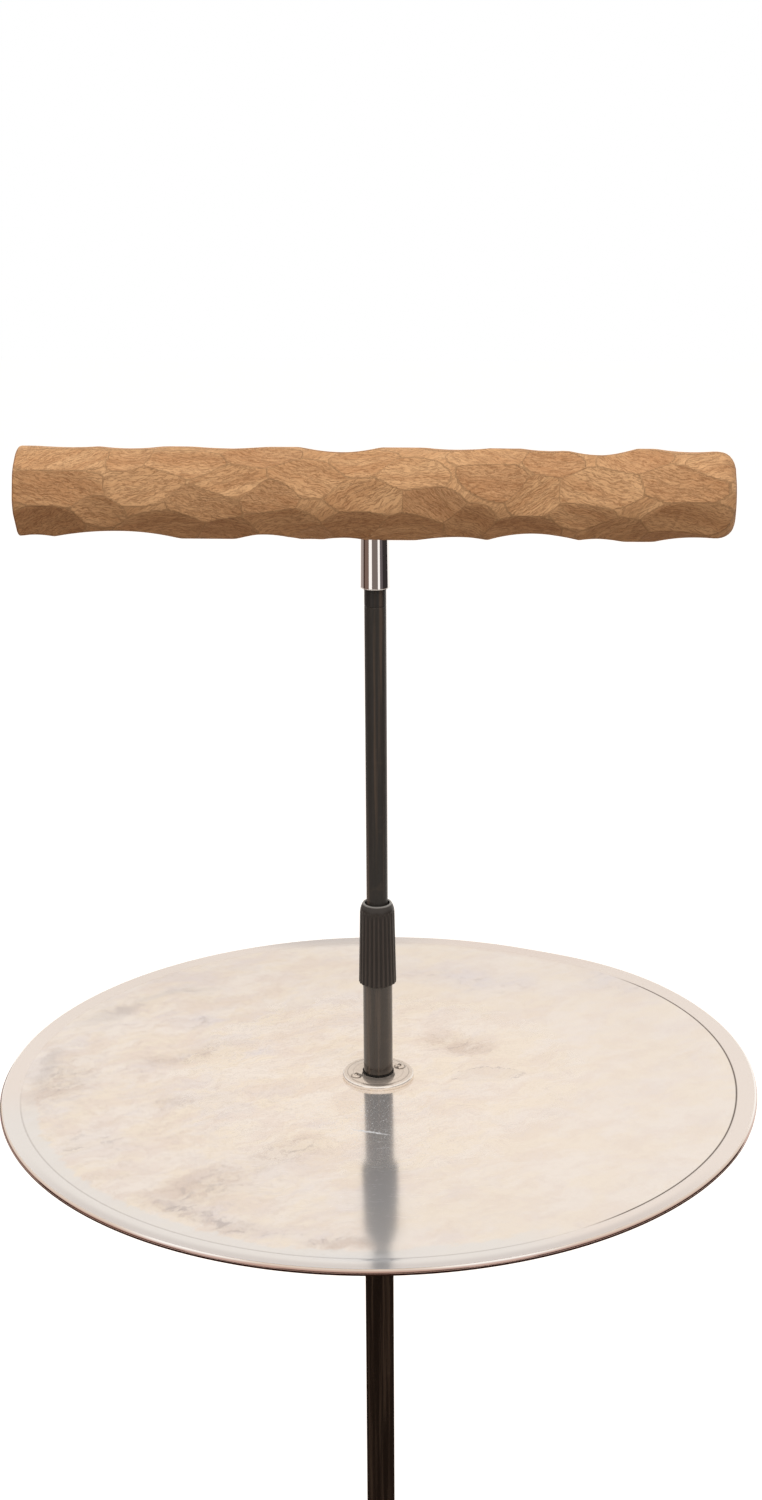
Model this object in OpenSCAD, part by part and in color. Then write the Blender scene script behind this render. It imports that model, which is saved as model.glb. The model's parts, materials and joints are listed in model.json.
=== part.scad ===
// Floor-standing T perch.
// A carved wooden bar sits in a polished socket on a two-stage tube with a twist clutch.
// A round rolled-edge tray is clamped to the lower tube, which stands in a cast-iron base.
// Millimetres. The origin is on the floor under the tube's axis, +Z is up, and the bar lies along X.

/* [Perch bar] */
// Length of the wooden bar
bar_length = 507; // [360:1:640]
// Diameter of the bar over the ridges that the gouge leaves
bar_diameter = 66.6; // [56:0.2:80]
// Rounding of the bar's two ends
bar_end_round = 7; // [4:0.5:12]
// How deep the gouge cuts, as a multiple of the depths listed for the cuts
gouge_scale = 1; // [0.5:0.05:1.3]
// Depth of the socket hole in the bar, above the bar's lowest line
bar_hole_depth = 22; // [16:0.5:30]

/* [Socket] */
// Length of polished socket that shows below the bar
socket_exposed = 34.6; // [26:0.2:60]
// Diameter of the socket at its mouth
socket_mouth_d = 21.6; // [19.6:0.1:26]
// Diameter of the socket where it meets the bar
socket_neck_d = 20.4; // [18.4:0.1:24]
// Height of the bright lip round the mouth
socket_lip_h = 1.2; // [0.6:0.1:3]
// Metal left in the socket above its threaded hole
socket_end_wall = 13; // [8:0.5:16]
// Diameter of the wood screw that holds the socket to the bar
wood_screw_d = 6; // [4:0.5:7]
// Wood left above the wood screw's tip
wood_above_screw = 12; // [9:0.5:24]

/* [Tubes] */
// Outer diameter of the upper tube
upper_tube_d = 15.9; // [14:0.1:17]
// Wall of the upper tube
upper_tube_wall = 1.2; // [0.8:0.1:2]
// Length of the upper tube
upper_tube_length = 560; // [460:1:640]
// Upper tube that shows above the clutch, as photographed
upper_tube_exposed = 228.7; // [150:0.1:320]
// Height of the plain collar on top of the upper tube
end_collar_h = 13.3; // [8:0.1:20]
// Length of the thread above that collar
end_thread_length = 20; // [12:0.5:24]
// Length of the plug inside the upper tube
end_plug_length = 22; // [14:0.5:40]
// Outer diameter of the lower tube
lower_tube_d = 22.2; // [21.6:0.1:23.4]
// Wall of the lower tube
lower_tube_wall = 1.5; // [1:0.1:1.8]
// Lower tube that stands above the tray's floor, most of it as photographed
lower_tube_above_tray = 90.5; // [40:0.5:200]
// Length of the nylon guide on the upper tube's lower end
guide_length = 16; // [10:0.5:30]

/* [Clutch] */
// Length of the ribbed grip
grip_length = 65; // [58:0.5:80]
// How far the grip reaches down over the lower tube
grip_overlap = 13.1; // [10:0.1:18]
// Wall of the grip at its lower end
grip_bottom_wall = 2.5; // [1.8:0.1:5]
// Wall of the grip under its top shoulder
grip_top_wall = 2.7; // [1.4:0.1:4]
// Gap round the upper tube in the grip's opening
grip_opening_gap = 1.35; // [1.1:0.05:2]
// Width of the flat lip round that opening
grip_lip = 1.1; // [0.6:0.1:1.6]
// Height of the chamfer at the grip's lower end
grip_chamfer = 2.8; // [1:0.1:4]
// Height of the sloping shoulder at the grip's top
grip_shoulder = 7.5; // [3:0.1:9]
// Number of flutes round the grip
flute_count = 24; // [16:1:30]
// Depth of each flute
flute_depth = 0.6; // [0.2:0.05:0.8]
// Diameter of the round cutter that makes a flute
flute_cutter_d = 3; // [2:0.1:4]
// How far the thread inside the grip stands off the lower tube
clutch_thread_step = 0.6; // [0.3:0.1:0.8]
// Length of the sleeve that holds the clutch body in the lower tube
sleeve_length = 20; // [12:0.5:30]
// Height of the thread on the clutch body above the lower tube
clutch_thread_h = 18; // [14:0.5:20]
// Height of the split collet that grips the upper tube, up to its cone
collet_length = 21; // [16:0.5:21]
// Width of each slot in the collet
collet_slot = 1.2; // [0.6:0.1:2]

/* [Tray] */
// Height of the tray's floor above the ground, at the tube
tray_height = 611.5; // [500:0.5:640]
// Diameter of the tray over its rolled edge
tray_diameter = 575; // [420:1:640]
// Thickness of the spun sheet
tray_sheet = 1.2; // [0.8:0.1:2]
// Width of the rim, from the step at the floor to the outside
tray_rim_width = 15.5; // [10:0.5:30]
// How much lower the floor lies at its edge than at the tube
tray_fall = 1.5; // [0:0.1:6]
// Height of the rim above the floor's edge
tray_rim_rise = 0.3; // [0.2:0.1:8]
// Width over which the step rises
tray_step_width = 3; // [2:0.5:8]
// Diameter of the rolled edge
tray_bead_d = 5; // [4:0.1:8]

/* [Tray mounting] */
// Diameter of the polished flange on the tray
flange_d = 54.6; // [50:0.2:80]
// Thickness of the flange
flange_t = 3.5; // [3:0.1:8]
// Rounding of the flange's upper edge
flange_round = 1.8; // [0.5:0.1:2.4]
// Diameter of the circle on which the two screws stand
flange_screw_circle = 36.6; // [36:0.1:42]
// Direction of the screws, turned from the bar
flange_screw_angle = 29; // [0:1:180]
// Diameter of the flange screws
flange_screw_d = 4; // [3:0.5:5]
// Length of the flange screws under their heads
flange_screw_length = 16; // [14:0.5:18]
// Height of the rubber ring round the tube
ring_h = 1.4; // [1:0.1:5]
// Width of the rubber ring
ring_w = 0.6; // [0.5:0.05:2]
// Thickness of the rubber washer under the tray
gasket_t = 1.6; // [0.8:0.1:4]
// Height of the collar that clamps the tray to the tube
collar_h = 16; // [14:0.5:24]
// Diameter of that collar
collar_d = 50; // [48:0.5:80]
// Diameter of the collar's set screws
set_screw_d = 6; // [4:0.5:7]

/* [Base] */
// Diameter of the cast base
base_diameter = 305; // [240:1:420]
// Height of the base's rim above its underside
base_edge_h = 9; // [7:0.5:16]
// Height of the base at the foot of its hub
base_dome_h = 20; // [16:0.5:30]
// Height of the hub's top above the base's underside
hub_h = 46; // [38:0.5:70]
// Diameter of the hub at its top
hub_d = 36; // [32:0.5:50]
// Diameter of the hub at its foot
hub_foot_d = 60; // [52:1:90]
// Thickness of iron under the tube
base_web = 6; // [4:0.5:9]
// Depth of the round recess under the base
recess_depth = 7; // [5:0.5:10]
// Diameter of that recess
recess_d = 90; // [60:1:140]
// Diameter of the bolt that holds the tube
bolt_d = 10; // [6:0.5:12]
// Length of that bolt under its head
bolt_length = 30; // [22:0.5:34]
// Height of the plug in the tube's foot
foot_plug_h = 26; // [24:0.5:40]
// Number of rubber feet
foot_count = 4; // [3:1:6]
// Diameter of each rubber foot
foot_d = 24; // [14:0.5:34]
// How far each foot stands out below the iron
foot_stand = 3; // [1:0.1:6]
// How far each foot is let into the iron
foot_sunk = 3; // [1:0.1:4]

/* [Fits] */
// Radial clearance between pieces that are pressed or screwed together
press_gap = 0.05; // [0.02:0.01:0.1]
// Radial clearance between pieces that turn or slide on each other
slip_gap = 0.08; // [0.04:0.01:0.1]
// Gap between the faces of pieces that move apart
face_gap = 0.3; // [0.2:0.05:0.6]

/* [Hidden] */
$fn = 96;
// Overlap that makes a cut run clear past a face
past = 1;

// Heights up the stand, each built on the one below it
iron_z = foot_stand;
web_z = iron_z + recess_depth;
lower_tube_z = web_z + base_web;
lower_tube_top = tray_height + lower_tube_above_tray;
grip_z = lower_tube_top - grip_overlap;
grip_top = grip_z + grip_length;
upper_tube_top = grip_top + upper_tube_exposed;
upper_tube_z = upper_tube_top - upper_tube_length;
end_collar_top = upper_tube_top + end_collar_h;
socket_z = end_collar_top + face_gap;
bar_low = socket_z + socket_exposed;
bar_r = bar_diameter / 2;
bar_axis = bar_low + bar_r;

// Radii that several pieces share
upper_tube_r = upper_tube_d / 2;
upper_tube_bore = upper_tube_r - upper_tube_wall;
lower_tube_r = lower_tube_d / 2;
lower_tube_bore = lower_tube_r - lower_tube_wall;
clutch_thread_r = lower_tube_r + clutch_thread_step;
grip_opening_r = upper_tube_r + grip_opening_gap;
tray_hole_r = lower_tube_r + slip_gap;

// Points of a round corner about a centre, from one angle to another
function corner(cx, cy, r, from, to, steps = 6) =
    [for (i = [0 : steps]) let (a = from + (to - from) * i / steps) [cx + r * cos(a), cy + r * sin(a)]];

// A tube or ring about the Z axis
module ring(outer_r, inner_r, z, h) {
    translate([0, 0, z])
        difference() {
            cylinder(r = outer_r, h = h);
            translate([0, 0, -past])
                cylinder(r = inner_r, h = h + 2 * past);
        }
}

// Copies of what follows, evenly round the Z axis
module around(count, start = 0) {
    for (i = [0 : count - 1])
        rotate([0, 0, start + 360 * i / count])
            children();
}

// The two places of the flange screws
module at_flange_screws() {
    around(2, flange_screw_angle)
        translate([flange_screw_circle / 2, 0, 0])
            children();
}

// Length of the bar on which the cuts below are laid out
carving_length = 516;
carving_stretch = bar_length / carving_length;

// Gouge cuts that the front of the bar shows.
// Each is [place along the bar, angle round the bar from the front upwards, depth, length,
// twist in degrees per millimetre along the bar].
front_cuts = [
    [-224, 58, 2.6, 86, 0.05], [-175, 62, 3.8, 36, 0.30], [-226, 16, 3.2, 96, -0.04],
    [-236, -34, 4.4, 60, 0.04], [-196, -12, 3.4, 40, -0.30], [-166, 20, 3.6, 68, 0.14],
    [-152, -42, 4.6, 72, 0.14], [-134, 52, 3.0, 72, -0.12], [-120, -4, 3.4, 56, -0.22],
    [-100, 28, 3.4, 60, 0.20], [-104, -48, 4.2, 50, 0.18], [-72, 4, 4.2, 44, 0.34],
    [-64, -34, 4.6, 60, -0.20], [-80, 64, 3.0, 60, 0.10], [-48, 32, 3.6, 62, -0.14],
    [-44, -58, 4.2, 40, 0.20], [-12, -36, 4.0, 58, 0.26], [-4, 6, 3.2, 62, -0.12],
    [-6, 56, 3.2, 52, 0.16], [28, 38, 3.2, 56, -0.16], [24, -42, 4.6, 62, 0.20],
    [44, -4, 3.8, 52, -0.26], [68, -28, 4.0, 42, 0.24], [86, 32, 4.4, 54, -0.30],
    [82, 66, 3.0, 60, 0.10], [106, -44, 4.2, 58, 0.12], [117, 10, 3.8, 46, 0.34],
    [128, 56, 3.4, 46, -0.20], [160, 20, 4.2, 74, 0.16], [172, -48, 4.8, 56, 0.16],
    [150, -16, 3.2, 50, -0.24], [186, 62, 3.6, 56, 0.20], [218, 26, 3.4, 70, -0.16],
    [222, -24, 4.4, 68, 0.18], [214, -60, 4.0, 58, -0.10], [246, 54, 3.2, 50, 0.10]
];

// Cuts along the top and the underside, which set the bar's outline from the front
edge_cuts = [
    [-222, 98, 1.8, 60, 0.05], [-176, 96, 2.4, 60, -0.10], [-104, 100, 2.0, 64, 0.12],
    [-25, 101, 4.2, 64, -0.10], [60, 98, 2.2, 56, 0.08], [128, 98, 2.8, 52, 0.10],
    [160, 101, 5.4, 60, -0.08], [228, 98, 3.2, 62, 0.10],
    [-190, -80, 6.4, 104, 0.06], [-77, -79, 4.2, 52, -0.10], [-22, -80, 2.4, 36, 0.10],
    [57, -79, 3.4, 62, 0.12], [116, -80, 6.4, 76, -0.06], [160, -78, 2.6, 44, 0.10],
    [232, -80, 4.4, 66, 0.06], [-246, -78, 2.8, 40, 0.05]
];

// Cuts across the back, in rows that run from the top down to the underside
back_rows = 4;
back_columns = 9;
back_row_step = 36;
back_first_angle = 128;
back_cuts = [
    for (row = [0 : back_rows - 1], column = [0 : back_columns - 1])
        let (wobble = sin(137 * column + 71 * row), share = (column + 0.5 * (row % 2)) / (back_columns - 0.5))
        [
            -236 + 472 * share + 10 * wobble,
            back_first_angle + back_row_step * row + 6 * cos(97 * column + 53 * row),
            4 + 0.8 * wobble,
            68 + 10 * cos(61 * column + 40 * row),
            0.2 * wobble
        ]
];
cuts = concat(front_cuts, edge_cuts, back_cuts);

// Shortest turn from one angle to another, from -180 to 180
function turn(a) = a - 360 * floor((a + 180) / 360);

// Distance from the bar's axis to one cut, at a place along the bar and an angle round it
function cut_distance(cut, x, angle) =
    let (
        along = x / carving_stretch - cut[0],
        off = turn(angle - cut[1] - cut[4] * along),
        deep = cut[2] * gouge_scale
    )
    abs(off) > 70 ? bar_r : (bar_r - deep + deep * pow(2 * along / cut[3], 2)) / cos(off);

// Rounding of the ends, as a share of the radius
function end_share(x) =
    let (inside = bar_length / 2 - abs(x))
    inside >= bar_end_round ? 1
        : 1 - bar_end_round * (1 - sqrt(max(0, 1 - pow(1 - inside / bar_end_round, 2)))) / bar_r;

// Distance from the axis to the bar's surface
function bar_surface(x, angle) =
    end_share(x) * min(bar_r, min([for (cut = cuts) cut_distance(cut, x, angle)]));

bar_rings = 58;
bar_sides = 32;

// Places of the rings: close together at the rounded ends, even between them
end_rings = [0, 0.12, 0.35, 0.65, 1];
bar_places = concat(
    [for (s = end_rings) -bar_length / 2 + bar_end_round * s],
    [for (i = [1 : bar_rings - 1])
        -bar_length / 2 + bar_end_round + (bar_length - 2 * bar_end_round) * i / bar_rings],
    [for (i = [len(end_rings) - 1 : -1 : 0]) bar_length / 2 - bar_end_round * end_rings[i]]
);

function bar_point(x, i) =
    let (angle = 360 * i / bar_sides, r = bar_surface(x, angle))
    [x, -r * cos(angle), r * sin(angle)];

// The carved bar before it is drilled, about its own axis
module carved_bar() {
    rings = len(bar_places);
    skin = [for (x = bar_places, i = [0 : bar_sides - 1]) bar_point(x, i)];
    first = len(skin);
    last = first + 1;
    points = concat(skin, [[-bar_length / 2, 0, 0], [bar_length / 2, 0, 0]]);
    sides = [
        for (k = [0 : rings - 2], i = [0 : bar_sides - 1])
            let (
                j = (i + 1) % bar_sides,
                a = k * bar_sides + i,
                b = k * bar_sides + j,
                c = a + bar_sides,
                d = b + bar_sides
            )
            each [[a, c, b], [b, c, d]]
    ];
    ends = [
        for (i = [0 : bar_sides - 1])
            let (j = (i + 1) % bar_sides, top = (rings - 1) * bar_sides)
            each [[first, i, j], [last, top + j, top + i]]
    ];
    polyhedron(points = points, faces = concat(sides, ends));
}

// Perch bar

// Bar, drilled from below for the socket's neck and its wood screw
module perch_bar() {
    color([0.72, 0.52, 0.35])
        difference() {
            translate([0, 0, bar_axis])
                carved_bar();
            translate([0, 0, bar_low - past])
                cylinder(r = socket_neck_d / 2 + press_gap, h = bar_hole_depth + past);
            translate([0, 0, bar_low])
                cylinder(r = wood_screw_d / 2 + press_gap, h = screw_top - bar_low + face_gap);
        }
}

// Socket

socket_top = bar_low + bar_hole_depth;
socket_floor = socket_top - socket_end_wall;
socket_bore = upper_tube_r;
wood_screw_head_h = wood_screw_d * 0.55;
wood_screw_head_r = wood_screw_d;
screw_top = bar_low + bar_diameter - wood_above_screw;

// Polished socket with a bright lip at its mouth and a threaded hole for the tube's end
module perch_socket() {
    mouth_r = socket_mouth_d / 2;
    neck_r = socket_neck_d / 2;
    lip_r = mouth_r - socket_lip_h / 3;
    color([0.82, 0.82, 0.84])
        difference() {
            rotate_extrude()
                polygon([
                    [0, socket_z], [lip_r, socket_z], [mouth_r, socket_z + socket_lip_h],
                    [neck_r, bar_low], [neck_r, socket_top], [0, socket_top]
                ]);
            translate([0, 0, socket_z - past])
                cylinder(r = socket_bore, h = socket_floor - socket_z + past);
            translate([0, 0, socket_floor])
                cylinder(r = wood_screw_d / 2 + press_gap, h = socket_end_wall + past);
            translate([0, 0, socket_floor - past])
                cylinder(r = wood_screw_head_r + press_gap, h = wood_screw_head_h + past);
        }
}

// Wood screw that pulls the socket into the bar
module socket_wood_screw() {
    shank_r = wood_screw_d / 2;
    tip = wood_screw_d;
    head_z = socket_floor;
    color([0.62, 0.60, 0.56])
        difference() {
            union() {
                translate([0, 0, head_z])
                    cylinder(r = wood_screw_head_r, h = wood_screw_head_h);
                translate([0, 0, head_z])
                    cylinder(r = shank_r, h = screw_top - tip - head_z);
                translate([0, 0, screw_top - tip])
                    cylinder(r1 = shank_r, r2 = shank_r / 4, h = tip);
            }
            translate([0, 0, head_z - past])
                cylinder(r = wood_screw_d / 3, h = wood_screw_head_h / 2 + past, $fn = 6);
        }
}

// Upper tube

// End fitting: a plug inside the tube, a plain collar on it and a thread for the socket
module tube_end_fitting() {
    thread_r = socket_bore - slip_gap;
    plug_r = upper_tube_bore - press_gap;
    groove = 0.35;
    color([0.10, 0.10, 0.10])
        difference() {
            union() {
                translate([0, 0, upper_tube_top - end_plug_length])
                    cylinder(r = plug_r, h = end_plug_length);
                translate([0, 0, upper_tube_top])
                    cylinder(r = upper_tube_r, h = end_collar_h);
                translate([0, 0, end_collar_top])
                    cylinder(r = thread_r, h = end_thread_length);
            }
            ring(upper_tube_r + past, upper_tube_r - groove, upper_tube_top, groove * 2);
        }
}

// Upper tube, which slides in the lower one
module upper_tube() {
    color([0.11, 0.11, 0.11])
        ring(upper_tube_r, upper_tube_bore, upper_tube_z, upper_tube_length);
}

// Nylon guide with a plug up inside the tube and a flange that runs in the lower tube
module guide_bush() {
    guide_r = lower_tube_bore - slip_gap;
    color([0.86, 0.85, 0.82])
        union() {
            translate([0, 0, upper_tube_z - guide_length / 2])
                cylinder(r = guide_r, h = guide_length / 2);
            translate([0, 0, upper_tube_z])
                cylinder(r = upper_tube_bore - press_gap, h = guide_length);
        }
}

// Clutch

collet_z = lower_tube_top + clutch_thread_h;
collet_top = collet_z + collet_length;
collet_cone_h = 5;
collet_step = 0.9;
collet_r = grip_opening_r + collet_step;
collet_bore = upper_tube_r + slip_gap;
collet_nose_wall = 0.75;
collet_nose_r = collet_bore + collet_nose_wall;
nose_below_top = 3;

// Threaded body whose sleeve sits in the lower tube's top end, with a seat for the collet
module clutch_body() {
    sleeve_r = lower_tube_bore - press_gap;
    thread_r = clutch_thread_r - slip_gap;
    bore_r = upper_tube_r + face_gap;
    sleeve_z = lower_tube_top - sleeve_length;
    color([0.16, 0.16, 0.16])
        union() {
            ring(sleeve_r, bore_r, sleeve_z, sleeve_length);
            ring(thread_r, bore_r, lower_tube_top, clutch_thread_h);
        }
}

// Split collet that the grip closes on the upper tube; its nose shows in the grip's opening
module clutch_collet() {
    nose_top = grip_top - nose_below_top;
    slot_z = collet_z + collet_length / 3;
    color([0.30, 0.30, 0.30])
        difference() {
            rotate_extrude()
                polygon([
                    [collet_bore, collet_z], [collet_r, collet_z],
                    [collet_r, collet_top - collet_cone_h], [collet_nose_r, collet_top],
                    [collet_nose_r, nose_top], [collet_bore, nose_top]
                ]);
            around(3)
                translate([0, -collet_slot / 2, slot_z])
                    cube([collet_r + past, collet_slot, nose_top - slot_z + past]);
        }
}

// Ribbed grip that screws on the body and closes the collet
module clutch_grip() {
    thread_top = collet_z + face_gap;
    cavity_top = collet_top + face_gap;
    cavity_r = collet_r + slip_gap;
    bottom_r = clutch_thread_r + grip_bottom_wall;
    top_r = cavity_r + grip_top_wall;
    straight_top = grip_top - grip_shoulder;
    lip_r = grip_opening_r + grip_lip;
    lip_round = 0.6;
    chamfer_w = grip_bottom_wall * 0.7;
    flute_past_shoulder = 1.5;
    tilt = atan((bottom_r - top_r) / (straight_top - grip_z));
    flute_r = bottom_r - flute_depth + flute_cutter_d / 2;
    color([0.13, 0.13, 0.13])
        difference() {
            rotate_extrude()
                polygon(concat(
                    [[0, grip_z], [bottom_r - chamfer_w, grip_z], [bottom_r, grip_z + grip_chamfer]],
                    [[top_r, straight_top]],
                    corner(lip_r, grip_top - lip_round, lip_round, 20, 90),
                    [[0, grip_top]]
                ));
            around(flute_count)
                translate([flute_r, 0, grip_z - past])
                    rotate([0, -tilt, 0])
                        cylinder(d = flute_cutter_d, h = straight_top - grip_z + flute_past_shoulder, $fn = 24);
            translate([0, 0, grip_z - past])
                cylinder(r = clutch_thread_r, h = thread_top - grip_z + past);
            translate([0, 0, thread_top - past])
                cylinder(r = cavity_r, h = cavity_top - collet_cone_h - thread_top + past);
            translate([0, 0, cavity_top - collet_cone_h])
                cylinder(r1 = cavity_r, r2 = grip_opening_r, h = collet_cone_h);
            translate([0, 0, cavity_top - past])
                cylinder(r = grip_opening_r, h = grip_top - cavity_top + 2 * past);
        }
}

// Lower tube

// Lower tube, from the base to the clutch
module lower_tube() {
    color([0.10, 0.10, 0.10])
        ring(lower_tube_r, lower_tube_bore, lower_tube_z, lower_tube_top - lower_tube_z);
}

// Tray

tray_r = tray_diameter / 2;
bead_r = tray_bead_d / 2;
bead_centre_r = tray_r - bead_r;
step_r = tray_r - tray_rim_width;
floor_edge_z = tray_height - tray_fall;
rim_top = floor_edge_z + tray_rim_rise;
bead_z = rim_top - bead_r;
tray_under = tray_height - tray_sheet;

// The floor is flat under the flange and the collar, and from there it falls ever more steeply to its edge
seat_r = max(flange_d, collar_d) / 2 + 1;
fall_steps = 8;

// Line of the sheet at a depth below its upper face: flat seat, falling floor, soft step, level rim and roll.
// The roll turns down, round and in, and stops under the rim.
roll_end = -180;
function sheet_line(depth) = concat(
    [[tray_hole_r, tray_height - depth]],
    [for (i = [0 : fall_steps])
        let (s = i / fall_steps)
        [seat_r + (step_r - seat_r) * s, tray_height - depth - tray_fall * s * s]],
    [for (i = [1 : 6])
        let (s = i / 6)
        [step_r + tray_step_width * s, floor_edge_z - depth + tray_rim_rise * (1 - cos(180 * s)) / 2]],
    corner(bead_centre_r, bead_z, bead_r - depth, 90, roll_end, 18)
);
function backwards(list) = [for (i = [len(list) - 1 : -1 : 0]) list[i]];

// Spun tray with its edge rolled under
module tray() {
    color([0.88, 0.85, 0.80])
        difference() {
            rotate_extrude($fn = 180)
                polygon(concat(sheet_line(0), backwards(sheet_line(tray_sheet))));
            at_flange_screws()
                translate([0, 0, tray_under - past])
                    cylinder(d = flange_screw_d + 2 * press_gap, h = tray_sheet + 2 * past);
        }
}

// Tray mounting

gasket_top = tray_under;
collar_top = gasket_top - gasket_t;
collar_z = collar_top - collar_h;
flange_top = tray_height + flange_t;

// Polished flange with a rounded edge
module tray_flange() {
    outer_r = flange_d / 2;
    color([0.86, 0.86, 0.86])
        difference() {
            rotate_extrude()
                polygon(concat(
                    [[0, tray_height], [outer_r, tray_height]],
                    corner(outer_r - flange_round, flange_top - flange_round, flange_round, 0, 90),
                    [[0, flange_top]]
                ));
            translate([0, 0, tray_height - past])
                cylinder(r = tray_hole_r, h = flange_t + 2 * past);
            at_flange_screws()
                translate([0, 0, tray_height - past])
                    cylinder(d = flange_screw_d + 2 * press_gap, h = flange_t + 2 * past);
        }
}

// Black rubber ring that closes the gap between flange and tube
module flange_seal() {
    color([0.05, 0.05, 0.05])
        translate([0, 0, flange_top])
            difference() {
                cylinder(r1 = tray_hole_r + ring_w, r2 = tray_hole_r + ring_w * 0.8, h = ring_h);
                translate([0, 0, -past])
                    cylinder(r = tray_hole_r, h = ring_h + 2 * past);
            }
}

// Domed screws with a cross recess, through flange and tray into the collar
module flange_screws() {
    head_r = flange_screw_d * 0.95;
    head_h = flange_screw_d * 0.55;
    recess_w = flange_screw_d * 0.2;
    dome_r = (head_r * head_r + head_h * head_h) / (2 * head_h);
    color([0.80, 0.80, 0.80])
        at_flange_screws()
            difference() {
                union() {
                    translate([0, 0, flange_top])
                        intersection() {
                            cylinder(r = head_r, h = head_h);
                            translate([0, 0, head_h - dome_r])
                                sphere(r = dome_r);
                        }
                    translate([0, 0, flange_top - flange_screw_length])
                        cylinder(d = flange_screw_d, h = flange_screw_length);
                }
                for (a = [0, 90])
                    rotate([0, 0, a])
                        translate([-head_r * 0.6, -recess_w / 2, flange_top + head_h * 0.35])
                            cube([head_r * 1.2, recess_w, head_h]);
            }
}

// Rubber washer between the tray and its collar
module tray_gasket() {
    color([0.08, 0.08, 0.08])
        difference() {
            ring(collar_d / 2, tray_hole_r, collar_top, gasket_t);
            at_flange_screws()
                translate([0, 0, collar_top - past])
                    cylinder(d = flange_screw_d + 2 * press_gap, h = gasket_t + 2 * past);
        }
}

set_screw_z = collar_z + collar_h * 0.38;
set_screw_below_face = 1.5;

// Aluminium collar that the set screws hold on the tube
module tray_collar() {
    color([0.72, 0.72, 0.73])
        difference() {
            ring(collar_d / 2, tray_hole_r, collar_z, collar_h);
            at_flange_screws()
                translate([0, 0, collar_z - past])
                    cylinder(d = flange_screw_d + 2 * press_gap, h = collar_h + 2 * past);
            around(2, flange_screw_angle + 90)
                translate([0, 0, set_screw_z])
                    rotate([0, 90, 0])
                        cylinder(d = set_screw_d + 2 * press_gap, h = collar_d);
        }
}

// Two set screws with hexagon sockets, hard against the tube
module collar_set_screws() {
    length = collar_d / 2 - lower_tube_r - set_screw_below_face;
    hex_r = set_screw_d * 0.29;
    color([0.20, 0.20, 0.20])
        around(2, flange_screw_angle + 90)
            translate([lower_tube_r + slip_gap, 0, set_screw_z])
                rotate([0, 90, 0])
                    difference() {
                        cylinder(d = set_screw_d, h = length);
                        translate([0, 0, length - set_screw_d * 0.6])
                            cylinder(r = hex_r, h = set_screw_d, $fn = 6);
                    }
}

// Base

base_r = base_diameter / 2;
edge_round = base_edge_h * 0.45;
casting_chamfer = 1.5;
slope_sag = 0.35;
curve_steps = 8;
foot_gap = 0.2;
foot_taper = 1;
foot_circle = base_r - foot_d / 2 - base_edge_h;

// Upper line of the casting, from the rim up over the dome to the hub
function base_line() =
    let (
        rim_z = iron_z + base_edge_h,
        foot_z = iron_z + base_dome_h,
        top_z = iron_z + hub_h,
        foot_r = hub_foot_d / 2,
        top_r = hub_d / 2,
        slope_r = base_r - edge_round
    )
    concat(
        corner(slope_r, rim_z - edge_round, edge_round, 0, 90, 5),
        [for (i = [1 : curve_steps])
            let (s = i / curve_steps)
            [slope_r + (foot_r - slope_r) * s, rim_z + (foot_z - rim_z) * (s + slope_sag * s * (s - 1))]],
        [for (i = [1 : curve_steps])
            let (a = 90 * i / curve_steps)
            [foot_r + (top_r - foot_r) * sin(a), foot_z + (top_z - casting_chamfer - foot_z) * (1 - cos(a))]],
        [[top_r - casting_chamfer, top_z]]
    );

// Cast-iron base with a hub for the tube, a recess for the bolt and pockets for the feet
module base_plate() {
    color([0.09, 0.09, 0.09])
        difference() {
            rotate_extrude($fn = 144)
                polygon(concat(
                    [[0, iron_z], [base_r - casting_chamfer, iron_z], [base_r, iron_z + casting_chamfer]],
                    base_line(),
                    [[0, iron_z + hub_h]]
                ));
            translate([0, 0, lower_tube_z])
                cylinder(r = lower_tube_r + press_gap, h = hub_h + past);
            translate([0, 0, iron_z - past])
                cylinder(d = bolt_d + 2 * press_gap, h = hub_h);
            translate([0, 0, iron_z - past])
                cylinder(d = recess_d, h = recess_depth + past);
            around(foot_count, 45)
                translate([foot_circle, 0, iron_z - past])
                    cylinder(d = foot_d, h = foot_sunk + past);
        }
}

// Steel plug pressed into the foot of the lower tube
module foot_plug() {
    color([0.55, 0.55, 0.56])
        ring(lower_tube_bore - press_gap, bolt_d / 2 + press_gap, lower_tube_z, foot_plug_h);
}

washer_t = 1.8;
washer_d = bolt_d * 2.1;
bolt_head_clearance = 1;

// Plain washer under the bolt's head
module base_washer() {
    color([0.65, 0.65, 0.66])
        ring(washer_d / 2, bolt_d / 2 + press_gap, web_z - washer_t, washer_t);
}

// Hexagon bolt up through the base into the plug; its head is thin enough for the recess
module base_bolt() {
    head_h = recess_depth - washer_t - bolt_head_clearance;
    head_z = web_z - washer_t - head_h;
    across_corners = bolt_d * 1.85;
    color([0.60, 0.60, 0.61])
        union() {
            translate([0, 0, head_z])
                cylinder(d = across_corners, h = head_h, $fn = 6);
            translate([0, 0, head_z])
                cylinder(d = bolt_d, h = head_h + bolt_length);
        }
}

// Rubber feet let into the underside
module base_feet() {
    color([0.06, 0.06, 0.06])
        around(foot_count, 45)
            translate([foot_circle, 0, 0]) {
                top_r = foot_d / 2 - foot_gap;
                cylinder(r1 = top_r - foot_taper, r2 = top_r, h = foot_stand);
                translate([0, 0, foot_stand])
                    cylinder(r = top_r, h = foot_sunk);
            }
}

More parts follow.
